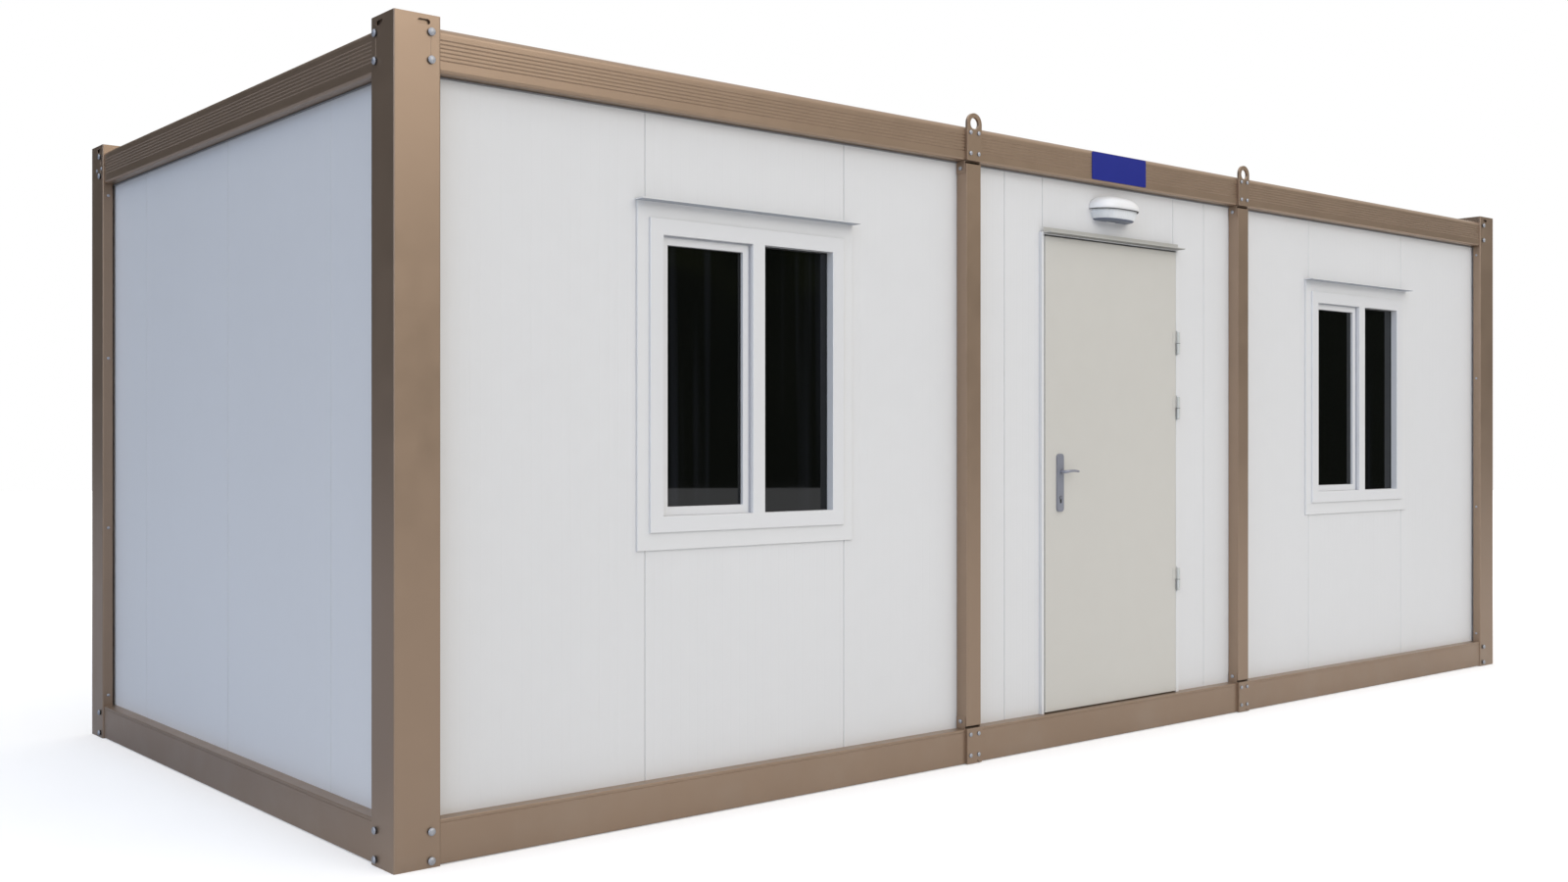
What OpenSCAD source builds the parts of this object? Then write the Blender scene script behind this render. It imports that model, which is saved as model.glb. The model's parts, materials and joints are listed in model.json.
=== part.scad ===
// Portable site cabin: folded steel frame, sandwich-panel walls, a door and two sliding windows.
// Units are millimetres. +Z is up, the long door side faces -Y, and the origin is on the ground
// under the middle of the footprint. Each side is drawn in its own axes by on_side():
// x runs along that side, y is the depth inwards from the outer plane, z is the height.

/* [Cabin] */
// Length over the corner posts
cabin_l = 7000; // [6000:10:9000]
// Width over the corner posts
cabin_w = 3000; // [2300:10:3600]
// Height of the corner posts
post_h = 2625; // [2400:5:3000]

/* [Corner posts] */
// Width of each outer face of a corner post
post_w = 157; // [130:1:200]
// Depth of the post's return beside the panels
post_return = 42; // [30:1:48]
// Sheet thickness of the posts
post_wall = 4; // [3:0.5:6]
// Thickness of the foot and head plates
foot_plate = 10; // [6:1:16]
// Radius of the posts' bends
bend_r = 5; // [2:0.5:8]
// Distance from the post's corner to the middle of its slot
slot_x = 100; // [60:1:120]
// Length of the slot in the post's head
slot_l = 42; // [30:1:60]
// Height of the slot in the post's head
slot_h = 16; // [10:1:24]
// Distance from the post's top to the middle of its slot
slot_drop = 23; // [22:1:40]

/* [Rails] */
// Height of the base and top rails
rail_h = 140; // [120:1:180]
// Step from the post's face back to the rail's face
rail_step = 6; // [2:1:12]
// Sheet thickness of the rails
rail_wall = 3; // [2:0.5:6]
// Clearance under the base rails
rail_lift = 3; // [2:1:20]
// Rise of the corner posts above the top rails
post_rise = 32; // [10:1:60]
// Radius of the top rail's upper edge
crown_r = 22; // [10:1:30]
// Number of flutes along the top rail
flutes = 6; // [3:1:7]
// Spacing of the flutes
flute_pitch = 12.5; // [10:0.5:14]
// Depth of a flute
flute_depth = 3; // [1:0.5:4]
// Distance from the rail's top to the first flute
flute_drop = 38; // [34:1:46]

/* [Middle posts and plates] */
// Distance of the middle posts from the cabin's centre line
mid_post_x = 950; // [850:5:1100]
// Width of a middle post and of its plates
mid_post_w = 85; // [60:1:100]
// Sheet thickness of the middle posts
mid_post_wall = 3; // [2:0.5:5]
// Gap between a middle post's end and the rail
mid_post_gap = 12; // [8:1:20]
// Thickness of the lifting plates and base plates
plate_t = 12; // [8:1:16]
// Rise of the lifting plate's top above the top rail
eye_rise = 55; // [50:1:80]
// Radius of the lifting eye
eye_r = 24; // [16:1:25]
// Thickness of the shoe plates
shoe_t = 3; // [2:0.5:5]
// Height of a shoe's side plates
shoe_h = 50; // [30:1:70]

/* [Walls] */
// Depth of the panels' outer face behind the posts' faces
panel_in = 55; // [50:1:60]
// Thickness of the wall panels
panel_t = 60; // [40:5:80]

/* [Floor and roof] */
// Thickness of the floor deck
deck_t = 18; // [12:1:24]
// Height of the floor joists
joist_h = 100; // [60:5:110]
// Number of floor joists and roof purlins
joists = 11; // [7:1:15]
// Flange width of a joist or purlin
joist_w = 50; // [40:1:70]
// Sheet thickness of a joist or purlin
joist_wall = 3; // [2:0.5:5]
// Thickness of the ceiling board
ceiling_t = 12; // [9:1:18]
// Height of the roof purlins
purlin_h = 80; // [60:5:90]
// Pitch of the roof sheet's ribs
rib_pitch = 223; // [180:1:300]
// Height of the roof sheet's ribs
rib_h = 28; // [20:1:35]
// Thickness of the roof sheet
sheet_t = 3; // [2:0.5:4]

/* [Windows] */
// Distance of the windows from the cabin's centre line
window_x = 2076; // [1900:5:2300]
// Width of a window frame
window_w = 900; // [700:10:1000]
// Height of a window frame
window_h = 1090; // [800:10:1200]
// Height of the window frame's underside above the ground
window_sill = 996; // [850:5:1050]
// Width of the window frame's face
window_face = 57; // [45:1:65]
// Width of the clear opening beside the fixed pane
fixed_light_w = 332; // [240:2:380]
// Step from the posts' faces back to the window frame's face
window_in = 38; // [30:1:42]
// Distance of the sliding sash behind the frame's face
sash_back = 21; // [15:1:25]
// Width of the sash's face
sash_face = 31; // [25:1:40]
// Depth of the sash
sash_d = 28; // [22:1:32]
// Distance of the glass behind the frame's face
glass_back = 37; // [30:1:40]
// Thickness of the glass
glass_t = 6; // [4:1:10]
// Width of the flat trim at a window's sides
trim_side = 49; // [30:1:70]
// Width of the flat trim over and under a window
trim_top = 61; // [30:1:80]
// Thickness of the flat trim
trim_t = 8; // [3:1:10]
// How far the drip caps stand out from the trim
cap_out = 44; // [25:1:60]
// Thickness of the drip caps
cap_t = 4; // [2:0.5:6]
// Overhang of a drip cap past the trim's ends
cap_over = 6; // [0:1:15]

/* [Door] */
// Width of the door leaf
leaf_w = 926; // [800:2:1000]
// Height of the door leaf's top above the ground
leaf_top = 2195; // [2000:5:2250]
// Thickness of the door leaf
leaf_t = 44; // [38:1:46]
// Gap around the door leaf
leaf_gap = 7; // [6.5:0.5:9]
// Gap under the door leaf
leaf_under = 5; // [5:1:10]
// Width of the door frame's face
jamb_w = 30; // [25:1:50]
// Gap between the leaf's back and the stop
stop_gap = 5; // [5:0.5:8]
// Width of the stop behind the leaf
stop_w = 18; // [14:1:25]
// Thickness of the stop
stop_t = 14; // [10:1:20]

/* [Hinges and handle] */
// Heights of the hinges' middles above the ground
hinge_z = [670, 1468, 1770];
// Length of a hinge barrel
hinge_h = 104; // [80:2:140]
// Radius of a hinge barrel
hinge_r = 8; // [7:0.5:9]
// Radius of a hinge pin
pin_r = 4; // [3:0.5:5]
// Radial clearance of the turning parts
turn_gap = 0.05; // [0.02:0.01:0.1]
// Distance of the hinge axis in front of the leaf
hinge_out = 11; // [10:0.5:14]
// Distance from the leaf's edge to the handle's middle
backset = 93; // [60:1:120]
// Height of the lever above the ground
lever_z = 1181; // [1000:1:1250]
// Length of the lever from its pivot to its tip
lever_l = 95; // [80:1:130]
// Distance of the lever's middle from its plate
lever_out = 32; // [28:1:50]
// Radius of the lever's neck
neck_r = 9; // [7:0.5:11]
// Height of the handle plate
scutcheon_h = 250; // [200:5:280]
// Width of the handle plate
scutcheon_w = 42; // [34:1:50]
// Thickness of the handle plate
scutcheon_t = 8; // [5:0.5:10]
// Distance from the lever's axis down to the keyhole
key_drop = 112; // [70:1:120]

/* [Lamp and sign plate] */
// Width of the lamp
lamp_w = 300; // [220:5:360]
// Height of the lamp
lamp_h = 124; // [100:2:130]
// How far the lamp stands out from the wall
lamp_out = 92; // [70:1:110]
// Height of the lamp's middle above the ground
lamp_z = 2356; // [2330:1:2370]
// Width of the blank sign plate
sign_w = 380; // [200:5:450]
// Height of the blank sign plate
sign_h = 122; // [80:1:125]
// Thickness of the blank sign plate
sign_t = 3; // [1:0.5:5]

/* [Hidden] */
ARC = 6;                                        // steps in a quarter bend
rail_bottom = rail_lift;
rail_top = rail_lift + rail_h;                  // also the floor's level
head_top = post_h - post_rise;                  // top of the top rails
head_bottom = head_top - rail_h;                // top of the walls
core = panel_in + panel_t;                      // the walls' inner faces, from the outer plane
rail_run_x = cabin_l / 2 - post_w;              // half length of the long rails
rail_run_y = cabin_w / 2 - post_w;              // half length of the short rails
wall_run_x = cabin_l / 2 - core;                // half length of the long walls
wall_run_y = cabin_w / 2 - core;                // half length of the short walls
plate_half = mid_post_w / 2;
window_top = window_sill + window_h;
light_bottom = window_sill + window_face;
light_top = window_top - window_face;
light_left = -window_w / 2 + window_face;
light_right = window_w / 2 - window_face;
mullion_right = light_right - fixed_light_w;
mullion_left = mullion_right - window_face;
sash_in = window_in + sash_back;
glass_in = window_in + glass_back;
trim_in = panel_in - trim_t;
leaf_in = window_in;                            // the leaf is flush with its frame
leaf_half = leaf_w / 2;
leaf_bottom = rail_top + leaf_under;
leaf_back = leaf_in + leaf_t;
door_half = leaf_half + leaf_gap;               // half width between the jambs
frame_half = door_half + jamb_w;
door_head = leaf_top + leaf_gap;
frame_top = door_head + jamb_w;
frame_back = core + 8;
stop_in = leaf_back + stop_gap;
hinge_x = leaf_half + leaf_gap / 2;
hinge_in = leaf_in - hinge_out;
knuckle_gap = 0.5;
flap_w = 24;                                    // width of a hinge's flap
flap_t = 3;
handle_x = -leaf_half + backset;
lever_gap = 0.5;                                // between the levers' necks and the leaf
spindle_r = 5;
spindle_hole_r = 8;
lamp_steps = 24;
BROWN = [0.53, 0.46, 0.39];
WHITE = [0.9, 0.9, 0.91];
BEIGE = [0.78, 0.77, 0.73];
ZINC = [0.68, 0.69, 0.72];

// Points of an arc of radius r about [x, y], from angle a to angle b
function arc(x, y, r, a, b) =
    [for (i = [0 : ARC]) let (t = a + (b - a) * i / ARC) [x + r * cos(t), y + r * sin(t)]];

// Box from its low corner to its high corner
module block(low, high) {
    translate(low) cube(high - low);
}

// Draws a piece of one side of the cabin: x along the side, y inwards from the outer plane
module on_side(side) {
    turn = side == "front" ? 0 : side == "rear" ? 180 : side == "left" ? -90 : 90;
    reach = side == "front" || side == "rear" ? cabin_w / 2 : cabin_l / 2;
    rotate(turn) translate([0, -reach, 0]) children();
}

// Extrudes a section, drawn as [depth, height], along x
module along_x(from, to) {
    translate([from, 0, 0]) rotate([90, 0, 90]) linear_extrude(to - from) children();
}

// Rectangular ring, drawn as [x, z], of the given depth
module ring(half, low, high, side, under, over, from, to) {
    difference() {
        block([-half, from, low], [half, to, high]);
        block([-half + side, from - 1, low + under], [half - side, to + 1, high - over]);
    }
}

// ---------------------------------------------------------------- frame

// Plan of the post's shaft: two outer faces, their returns and the core between the panels
module post_plan() {
    r = bend_r;
    polygon(concat(arc(r, r, r, 180, 270), arc(post_w - r, r, r, 270, 360),
        [[post_w, post_return], [core, post_return], [core, core], [post_return, core],
         [post_return, post_w]], arc(r, post_w - r, r, 90, 180)));
}

module post_plan_hollow() {
    t = post_wall;
    polygon([[t, t], [post_w - t, t], [post_w - t, post_return - t],
        [core - t, post_return - t], [core - t, core - t], [post_return - t, core - t],
        [post_return - t, post_w - t], [t, post_w - t]]);
}

// Slot through one outer face of the post's head
module head_slot() {
    straight = (slot_l - slot_h) / 2;
    translate([slot_x, -1, post_h - slot_drop]) {
        for (s = [-1, 1]) translate([s * straight, 0, 0]) rotate([-90, 0, 0])
            cylinder(h = post_wall + 2, r = slot_h / 2, $fn = 32);
        translate([-straight, 0, -slot_h / 2]) cube([2 * straight, post_wall + 2, slot_h]);
    }
}

module corner_post(left, front) {
    t = post_wall;
    color(BROWN)
    mirror([left ? 0 : 1, 0, 0]) mirror([0, front ? 0 : 1, 0])
    translate([-cabin_l / 2, -cabin_w / 2, 0]) difference() {
        union() {
            linear_extrude(post_h) post_plan();
            block([bend_r, bend_r, 0], [post_w, post_w, rail_top]);
            block([bend_r, bend_r, head_bottom], [post_w, post_w, post_h]);
        }
        translate([0, 0, foot_plate]) linear_extrude(post_h - 2 * foot_plate)
            post_plan_hollow();
        block([t, t, foot_plate], [post_w - t, post_w - t, rail_top - t]);
        block([t, t, head_bottom + t], [post_w - t, post_w - t, post_h - foot_plate]);
        head_slot();
        mirror([1, -1, 0]) head_slot();
    }
}

// Base rail: a folded box with a hem line under the ledge
module base_rail(side, run) {
    hem_drop = 10;
    hem = 2;
    f = rail_step;
    z = rail_top;
    color(BROWN) on_side(side) difference() {
        along_x(-run, run) polygon(concat(
            arc(f + bend_r, rail_bottom + bend_r, bend_r, 270, 180),
            [[f, z - hem_drop - hem], [f + hem, z - hem_drop - hem / 2], [f, z - hem_drop]],
            arc(f + hem, z - hem, hem, 180, 90), [[post_w, z], [post_w, rail_bottom]]));
        block([-run - 1, f + hem + rail_wall, rail_bottom + rail_wall],
            [run + 1, post_w - rail_wall, z - rail_wall]);
    }
}

// Top rail: rounded above and below, with fine flutes along its face
module top_rail(side, run) {
    half_flute = 2.5;
    low_r = crown_r / 2;
    f = rail_step;
    color(BROWN) on_side(side) difference() {
        along_x(-run, run) polygon(concat(
            arc(f + low_r, head_bottom + low_r, low_r, 270, 180),
            [for (i = [flutes - 1 : -1 : 0], s = [-1, 0, 1])
                [f + (s == 0 ? flute_depth : 0),
                 head_top - flute_drop - i * flute_pitch + s * half_flute]],
            arc(f + crown_r, head_top - crown_r, crown_r, 180, 90),
            [[post_w, head_top], [post_w, head_bottom]]));
        block([-run - 1, f + crown_r / 2, head_bottom + rail_wall],
            [run + 1, post_w - rail_wall, head_top - rail_wall]);
    }
}

module mid_posts(side) {
    t = mid_post_wall;
    color(BROWN) on_side(side) for (s = [-1, 1]) translate([s * mid_post_x, 0, 0])
        translate([0, 0, rail_top + mid_post_gap])
        linear_extrude(head_bottom - rail_top - 2 * mid_post_gap) difference() {
            translate([-plate_half, 0]) square([mid_post_w, panel_in]);
            translate([-plate_half + t, t]) square([mid_post_w - 2 * t, panel_in - 2 * t]);
        }
}

// Plates bolted to the top rails, each with a lifting eye
module lifting_plates() {
    eye_z = head_top + eye_rise - plate_half;
    color(BROWN) for (side = ["front", "rear"], s = [-1, 1])
        on_side(side) translate([s * mid_post_x, rail_step - plate_t, 0]) difference() {
            union() {
                block([-plate_half, 0, head_bottom], [plate_half, plate_t, eye_z]);
                translate([0, 0, eye_z]) rotate([-90, 0, 0])
                    cylinder(h = plate_t, r = plate_half, $fn = 64);
            }
            translate([0, -1, eye_z]) rotate([-90, 0, 0])
                cylinder(h = plate_t + 2, r = eye_r, $fn = 64);
        }
}

// Plates bolted to the base rails, each with a slanted drain slit at its foot
module base_plates() {
    slit = [18, plate_t + 2, 3];
    color(BROWN) for (side = ["front", "rear"], s = [-1, 1])
        on_side(side) translate([s * mid_post_x, rail_step - plate_t, 0]) difference() {
            block([-plate_half, 0, rail_bottom], [plate_half, plate_t, rail_top + 4]);
            translate([plate_half / 3, -1, rail_bottom + 10]) rotate([0, 38, 0]) cube(slit);
        }
}

// U-shaped brackets that hold the middle posts' ends
module post_shoes() {
    depth = panel_in - 2;
    color(BROWN) for (side = ["front", "rear"], s = [-1, 1], top = [false, true])
        on_side(side) translate([s * mid_post_x, 0, top ? head_bottom : rail_top])
        mirror([0, 0, top ? 1 : 0]) {
            wide = plate_half + shoe_t;
            block([-wide, plate_t, 0], [wide, depth, shoe_t]);
            for (e = [0, 1]) mirror([e, 0, 0])
                block([plate_half, plate_t / 2, 0], [wide, depth, shoe_h]);
        }
}

// ---------------------------------------------------------------- floor and roof

// C-section of the given height, open to one side, drawn as [x, z]
module c_section(tall) {
    t = joist_wall;
    difference() {
        square([joist_w, tall]);
        translate([t, t]) square([joist_w, tall - 2 * t]);
    }
}

// C-sections that span between the long rails, evenly spaced along the cabin
module c_row(low, tall) {
    first = -rail_run_x + joist_w;
    step = 2 * (rail_run_x - joist_w) / (joists - 1);
    for (i = [0 : joists - 1]) translate([first + i * step - joist_w / 2, rail_run_y, low])
        rotate([90, 0, 0]) linear_extrude(2 * rail_run_y) c_section(tall);
}

module floor_joists() {
    color(ZINC) c_row(rail_top - deck_t - joist_h, joist_h);
}

module floor_deck() {
    color("tan") block([-rail_run_x, -rail_run_y, rail_top - deck_t],
        [rail_run_x, rail_run_y, rail_top]);
}

module ceiling() {
    color(WHITE) block([-wall_run_x, -wall_run_y, head_bottom - ceiling_t],
        [wall_run_x, wall_run_y, head_bottom]);
}

module roof_purlins() {
    color(ZINC) c_row(head_bottom, purlin_h);
}

// Trapezoidal sheet, its ribs running across the cabin between the long rails
module roof_sheet() {
    low = head_bottom + purlin_h;
    count = floor(2 * rail_run_x / rib_pitch);
    pitch = 2 * rail_run_x / count;
    foot = pitch * 0.34;
    crest = pitch * 0.14;
    top = [for (i = [0 : count - 1], p = [[(pitch - foot) / 2, 0], [(pitch - crest) / 2, rib_h],
        [(pitch + crest) / 2, rib_h], [(pitch + foot) / 2, 0]])
        [-rail_run_x + i * pitch + p[0], p[1]]];
    line = concat([[-rail_run_x, 0]], top, [[rail_run_x, 0]]);
    under = [for (i = [len(line) - 1 : -1 : 0]) line[i]];
    color([0.75, 0.77, 0.78]) translate([0, rail_run_y, low]) rotate([90, 0, 0])
        linear_extrude(2 * rail_run_y)
        polygon(concat([for (p = line) p + [0, sheet_t]], under));
}

// ---------------------------------------------------------------- walls

// Plain piece of wall between two heights, in a side's own axes
module wall_piece(from, to, low, high) {
    block([from, panel_in, low], [to, core, high]);
}

module front_bay(s) {
    color(WHITE) on_side("front") difference() {
        if (s < 0) wall_piece(-wall_run_x, -mid_post_x, rail_top, head_bottom);
        else wall_piece(mid_post_x, wall_run_x, rail_top, head_bottom);
        translate([s * window_x, 0, 0]) block([-window_w / 2, panel_in - 1, window_sill],
            [window_w / 2, core + 1, window_top]);
    }
}

module beside_door(s) {
    color(WHITE) on_side("front") {
        if (s < 0) wall_piece(-mid_post_x, -frame_half, rail_top, head_bottom);
        else wall_piece(frame_half, mid_post_x, rail_top, head_bottom);
    }
}

module front_wall_over_door() {
    color(WHITE) on_side("front") wall_piece(-frame_half, frame_half, frame_top, head_bottom);
}

module plain_wall(side, run) {
    color(WHITE) on_side(side) wall_piece(-run, run, rail_top, head_bottom);
}

// ---------------------------------------------------------------- windows

// Places a piece at each window, or at one of them
module at_windows(list) {
    on_side("front") for (s = list) translate([s * window_x, 0, 0]) children();
}

module window_frame(s) {
    color(WHITE) at_windows([s]) {
        ring(window_w / 2, window_sill, window_top, window_face, window_face, window_face,
            window_in, core + trim_t);
        block([mullion_left, window_in, light_bottom],
            [mullion_right, core + trim_t, light_top]);
    }
}

module window_sashes() {
    color(WHITE) at_windows([-1, 1])
        translate([(light_left + mullion_left) / 2, 0, 0])
        ring((mullion_left - light_left) / 2, light_bottom, light_top,
            sash_face, sash_face, sash_face, sash_in, sash_in + sash_d);
}

module window_panes() {
    color([0.08, 0.09, 0.09]) at_windows([-1, 1]) {
        block([light_left + sash_face, glass_in, light_bottom + sash_face],
            [mullion_left - sash_face, glass_in + glass_t, light_top - sash_face]);
        block([mullion_right, glass_in, light_bottom],
            [light_right, glass_in + glass_t, light_top]);
    }
}

// Flat trim round each window, outside with its drip cap, and inside
module window_trims() {
    half = window_w / 2 + trim_side;
    low = window_sill - trim_top;
    high = window_top + trim_top;
    color(WHITE) at_windows([-1, 1]) {
        ring(half, low, high, trim_side, trim_top, trim_top, trim_in, panel_in);
        block([-half - cap_over, trim_in - cap_out, high - cap_t],
            [half + cap_over, panel_in, high]);
        ring(half, low, high, trim_side, trim_top, trim_top, core, core + trim_t);
    }
}

// ---------------------------------------------------------------- door

// Jambs, head and threshold, each with its stop behind the leaf
module door_frame() {
    color(WHITE) on_side("front") {
        for (s = [0, 1]) mirror([s, 0, 0]) {
            block([door_half, leaf_in, rail_top], [frame_half, frame_back, frame_top]);
            block([door_half - stop_w, stop_in, rail_top],
                [door_half, stop_in + stop_t, door_head]);
        }
        block([-door_half, leaf_in, door_head], [door_half, frame_back, frame_top]);
        block([-door_half, stop_in, door_head - stop_w],
            [door_half, stop_in + stop_t, door_head]);
        block([-door_half, stop_in, rail_top], [door_half, stop_in + stop_t, rail_top + stop_w]);
    }
}

// Drip cap on the face of the frame's head
module door_drip_cap() {
    low = door_head + cap_t;
    upstand = jamb_w - cap_t;
    color(WHITE) on_side("front") {
        block([-door_half - cap_over, leaf_in - cap_out, low],
            [door_half + cap_over, leaf_in, low + cap_t]);
        block([-door_half - cap_over, leaf_in - cap_t / 2, low],
            [door_half + cap_over, leaf_in, low + upstand]);
    }
}

module door_leaf() {
    color(BEIGE) on_side("front") difference() {
        block([-leaf_half, leaf_in, leaf_bottom], [leaf_half, leaf_back, leaf_top]);
        translate([handle_x, leaf_in - 1, lever_z]) rotate([-90, 0, 0])
            cylinder(h = leaf_t + 2, r = spindle_hole_r, $fn = 32);
    }
}

// Flap of a hinge, lying on the face beside the barrel; toward is -1 for the leaf, 1 for the frame
module hinge_flap(toward, low, high) {
    near = toward < 0 ? leaf_half : door_half;
    flap_in = leaf_in - flap_t;
    far = near + toward * flap_w;
    block([min(near, far), flap_in, low], [max(near, far), leaf_in, high]);
    block([min(near, hinge_x), hinge_in, low],
        [max(near, hinge_x), hinge_in + hinge_r - 1, high]);
    block([min(near, near + toward * flap_t), hinge_in, low],
        [max(near, near + toward * flap_t), leaf_in, high]);
}

// Lower halves of the hinges, on the frame, each with its pin
module hinge_pins() {
    color(ZINC) on_side("front") for (z = hinge_z) {
        low = z - hinge_h / 2;
        translate([hinge_x, hinge_in, low]) {
            cylinder(h = hinge_h / 2, r = hinge_r, $fn = 48);
            cylinder(h = hinge_h - flap_t, r = pin_r, $fn = 32);
        }
        hinge_flap(1, low, z);
    }
}

// Upper halves of the hinges, on the leaf, each turning on its pin
module hinge_knuckles() {
    color(ZINC) on_side("front") for (z = hinge_z) difference() {
        low = z + knuckle_gap;
        union() {
            translate([hinge_x, hinge_in, low])
                cylinder(h = hinge_h / 2 - knuckle_gap, r = hinge_r, $fn = 48);
            hinge_flap(-1, low, z + hinge_h / 2);
        }
        translate([hinge_x, hinge_in, low - 1])
            cylinder(h = hinge_h / 2 - flap_t + turn_gap + 1, r = pin_r + turn_gap, $fn = 32);
    }
}

// Rounded plate with the lever's bore and the keyhole, its face at y = 0
module scutcheon() {
    r = 14;
    half = scutcheon_w / 2;
    top = scutcheon_h * 0.31;
    low = top - scutcheon_h;
    key_r = 3.5;
    rotate([90, 0, 0]) mirror([0, 0, 1]) linear_extrude(scutcheon_t) difference() {
        polygon(concat(arc(half - r, top - r, r, 0, 90), arc(-half + r, top - r, r, 90, 180),
            arc(-half + r, low + r, r, 180, 270), arc(half - r, low + r, r, 270, 360)));
        circle(r = neck_r + turn_gap, $fn = 48);
        translate([0, -key_drop]) {
            circle(r = key_r, $fn = 24);
            translate([-key_r / 2, -3 * key_r]) square([key_r, 3 * key_r]);
        }
    }
}

module handle_plates() {
    color(ZINC) on_side("front") translate([handle_x, 0, lever_z]) {
        translate([0, leaf_in - scutcheon_t, 0]) scutcheon();
        translate([0, leaf_back, 0]) scutcheon();
    }
}

// Neck, elbow and tapered grip of one lever, its neck running to -y from just clear of the leaf
module lever_arm() {
    reach = scutcheon_t + lever_out;
    tip_r = 5;
    grip_r = 8;
    translate([0, -lever_gap, 0]) rotate([90, 0, 0])
        cylinder(h = reach - lever_gap, r = neck_r, $fn = 48);
    translate([0, -reach, 0]) {
        sphere(r = neck_r, $fn = 48);
        rotate([0, 90, 0]) cylinder(h = lever_l - tip_r, r1 = grip_r, r2 = tip_r, $fn = 48);
        translate([lever_l - tip_r, 0, 0]) sphere(r = tip_r, $fn = 48);
    }
}

// Both levers on one spindle through the leaf
module lever_handle() {
    color(ZINC) on_side("front") translate([handle_x, 0, lever_z]) {
        translate([0, leaf_in, 0]) lever_arm();
        translate([0, leaf_back, 0]) mirror([0, 1, 0]) lever_arm();
        translate([0, leaf_in - scutcheon_t, 0]) rotate([-90, 0, 0])
            cylinder(h = leaf_t + 2 * scutcheon_t, r = spindle_r, $fn = 32);
    }
}

// ---------------------------------------------------------------- lamp and sign plate

// Half an ellipse standing on the wall's face: above its middle when up is 1, below when -1
module half_oval(wide, tall, thick, up) {
    rotate([90, 0, 0]) linear_extrude(thick) polygon([for (i = [0 : lamp_steps])
        let (t = 180 * i / lamp_steps) [wide / 2 * cos(t), up * tall / 2 * sin(t)]]);
}

// Back plate and hood over the lamp's upper half
module lamp_housing() {
    back_t = 8;
    color(WHITE) on_side("front") translate([0, panel_in, lamp_z]) {
        half_oval(lamp_w, lamp_h, back_t, -1);
        half_oval(lamp_w, lamp_h, back_t, 1);
        hull() {
            half_oval(lamp_w, lamp_h, back_t, 1);
            translate([0, back_t - lamp_out, 0])
                half_oval(lamp_w * 0.62, lamp_h * 0.62, back_t, 1);
        }
    }
}

// Glass below the hood
module lamp_diffuser() {
    back_t = 8;
    color([0.85, 0.87, 0.88]) on_side("front") translate([0, panel_in - back_t, lamp_z]) hull() {
        half_oval(lamp_w - 24, lamp_h - 12, back_t, -1);
        translate([0, 3 * back_t - lamp_out, 0])
            half_oval(lamp_w * 0.56, lamp_h * 0.6, back_t, -1);
    }
}

module sign_plate() {
    mid = (head_top + head_bottom) / 2 + 2;
    color([0.16, 0.19, 0.5]) on_side("front")
        block([-sign_w / 2, rail_step - sign_t, mid - sign_h / 2],
            [sign_w / 2, rail_step, mid + sign_h / 2]);
}

// ---------------------------------------------------------------- nodes

corner_post(true, true);  // corner_post_front_left
corner_post(false, true);  // corner_post_front_right
corner_post(true, false);  // corner_post_rear_left
corner_post(false, false);  // corner_post_rear_right
base_rail("front", rail_run_x);  // base_rail_front
base_rail("rear", rail_run_x);  // base_rail_rear
base_rail("left", rail_run_y);  // base_rail_left
base_rail("right", rail_run_y);  // base_rail_right
top_rail("front", rail_run_x);  // top_rail_front
top_rail("rear", rail_run_x);  // top_rail_rear
top_rail("left", rail_run_y);  // top_rail_left
top_rail("right", rail_run_y);  // top_rail_right
mid_posts("front");  // mid_posts_front
mid_posts("rear");  // mid_posts_rear
lifting_plates();
base_plates();
post_shoes();
floor_joists();
floor_deck();
ceiling();
roof_purlins();
roof_sheet();
front_bay(-1);  // front_wall_left_bay
beside_door(-1);  // front_wall_latch_side
front_wall_over_door();
beside_door(1);  // front_wall_hinge_side
front_bay(1);  // front_wall_right_bay
plain_wall("left", wall_run_y);  // left_wall
plain_wall("right", wall_run_y);  // right_wall
plain_wall("rear", wall_run_x);  // rear_wall
window_frame(-1);  // window_frame_left
window_frame(1);  // window_frame_right
window_sashes();
window_panes();
window_trims();
door_frame();
door_drip_cap();
door_leaf();
hinge_pins();
hinge_knuckles();
handle_plates();
lever_handle();
lamp_housing();
lamp_diffuser();
sign_plate();
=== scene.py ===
"""Portable site cabin: its finishes and fine parts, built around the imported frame. Sizes are in metres.

A side's own axes are u along it, the inset from its outer plane inwards, and the height z.
"""

import json
import math

import bmesh
import bpy
import numpy as np
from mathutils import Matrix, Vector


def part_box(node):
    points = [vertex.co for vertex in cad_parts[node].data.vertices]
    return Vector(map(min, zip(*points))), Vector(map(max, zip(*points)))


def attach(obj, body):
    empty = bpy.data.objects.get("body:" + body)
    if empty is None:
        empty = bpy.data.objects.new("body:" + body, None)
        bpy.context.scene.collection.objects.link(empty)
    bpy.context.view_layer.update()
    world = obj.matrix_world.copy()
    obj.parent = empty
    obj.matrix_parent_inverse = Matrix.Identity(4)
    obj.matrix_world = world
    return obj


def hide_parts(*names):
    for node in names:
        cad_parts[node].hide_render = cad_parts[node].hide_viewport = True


bl_info = {
    "name": "Portable site cabin",
    "version": (1, 0, 0),
    "blender": (4, 5, 0),
    "location": "View3D > Sidebar > Cabin",
    "description": "Finishes and fine parts of a portable site cabin around its packed frame",
    "category": "Object",
}

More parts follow.
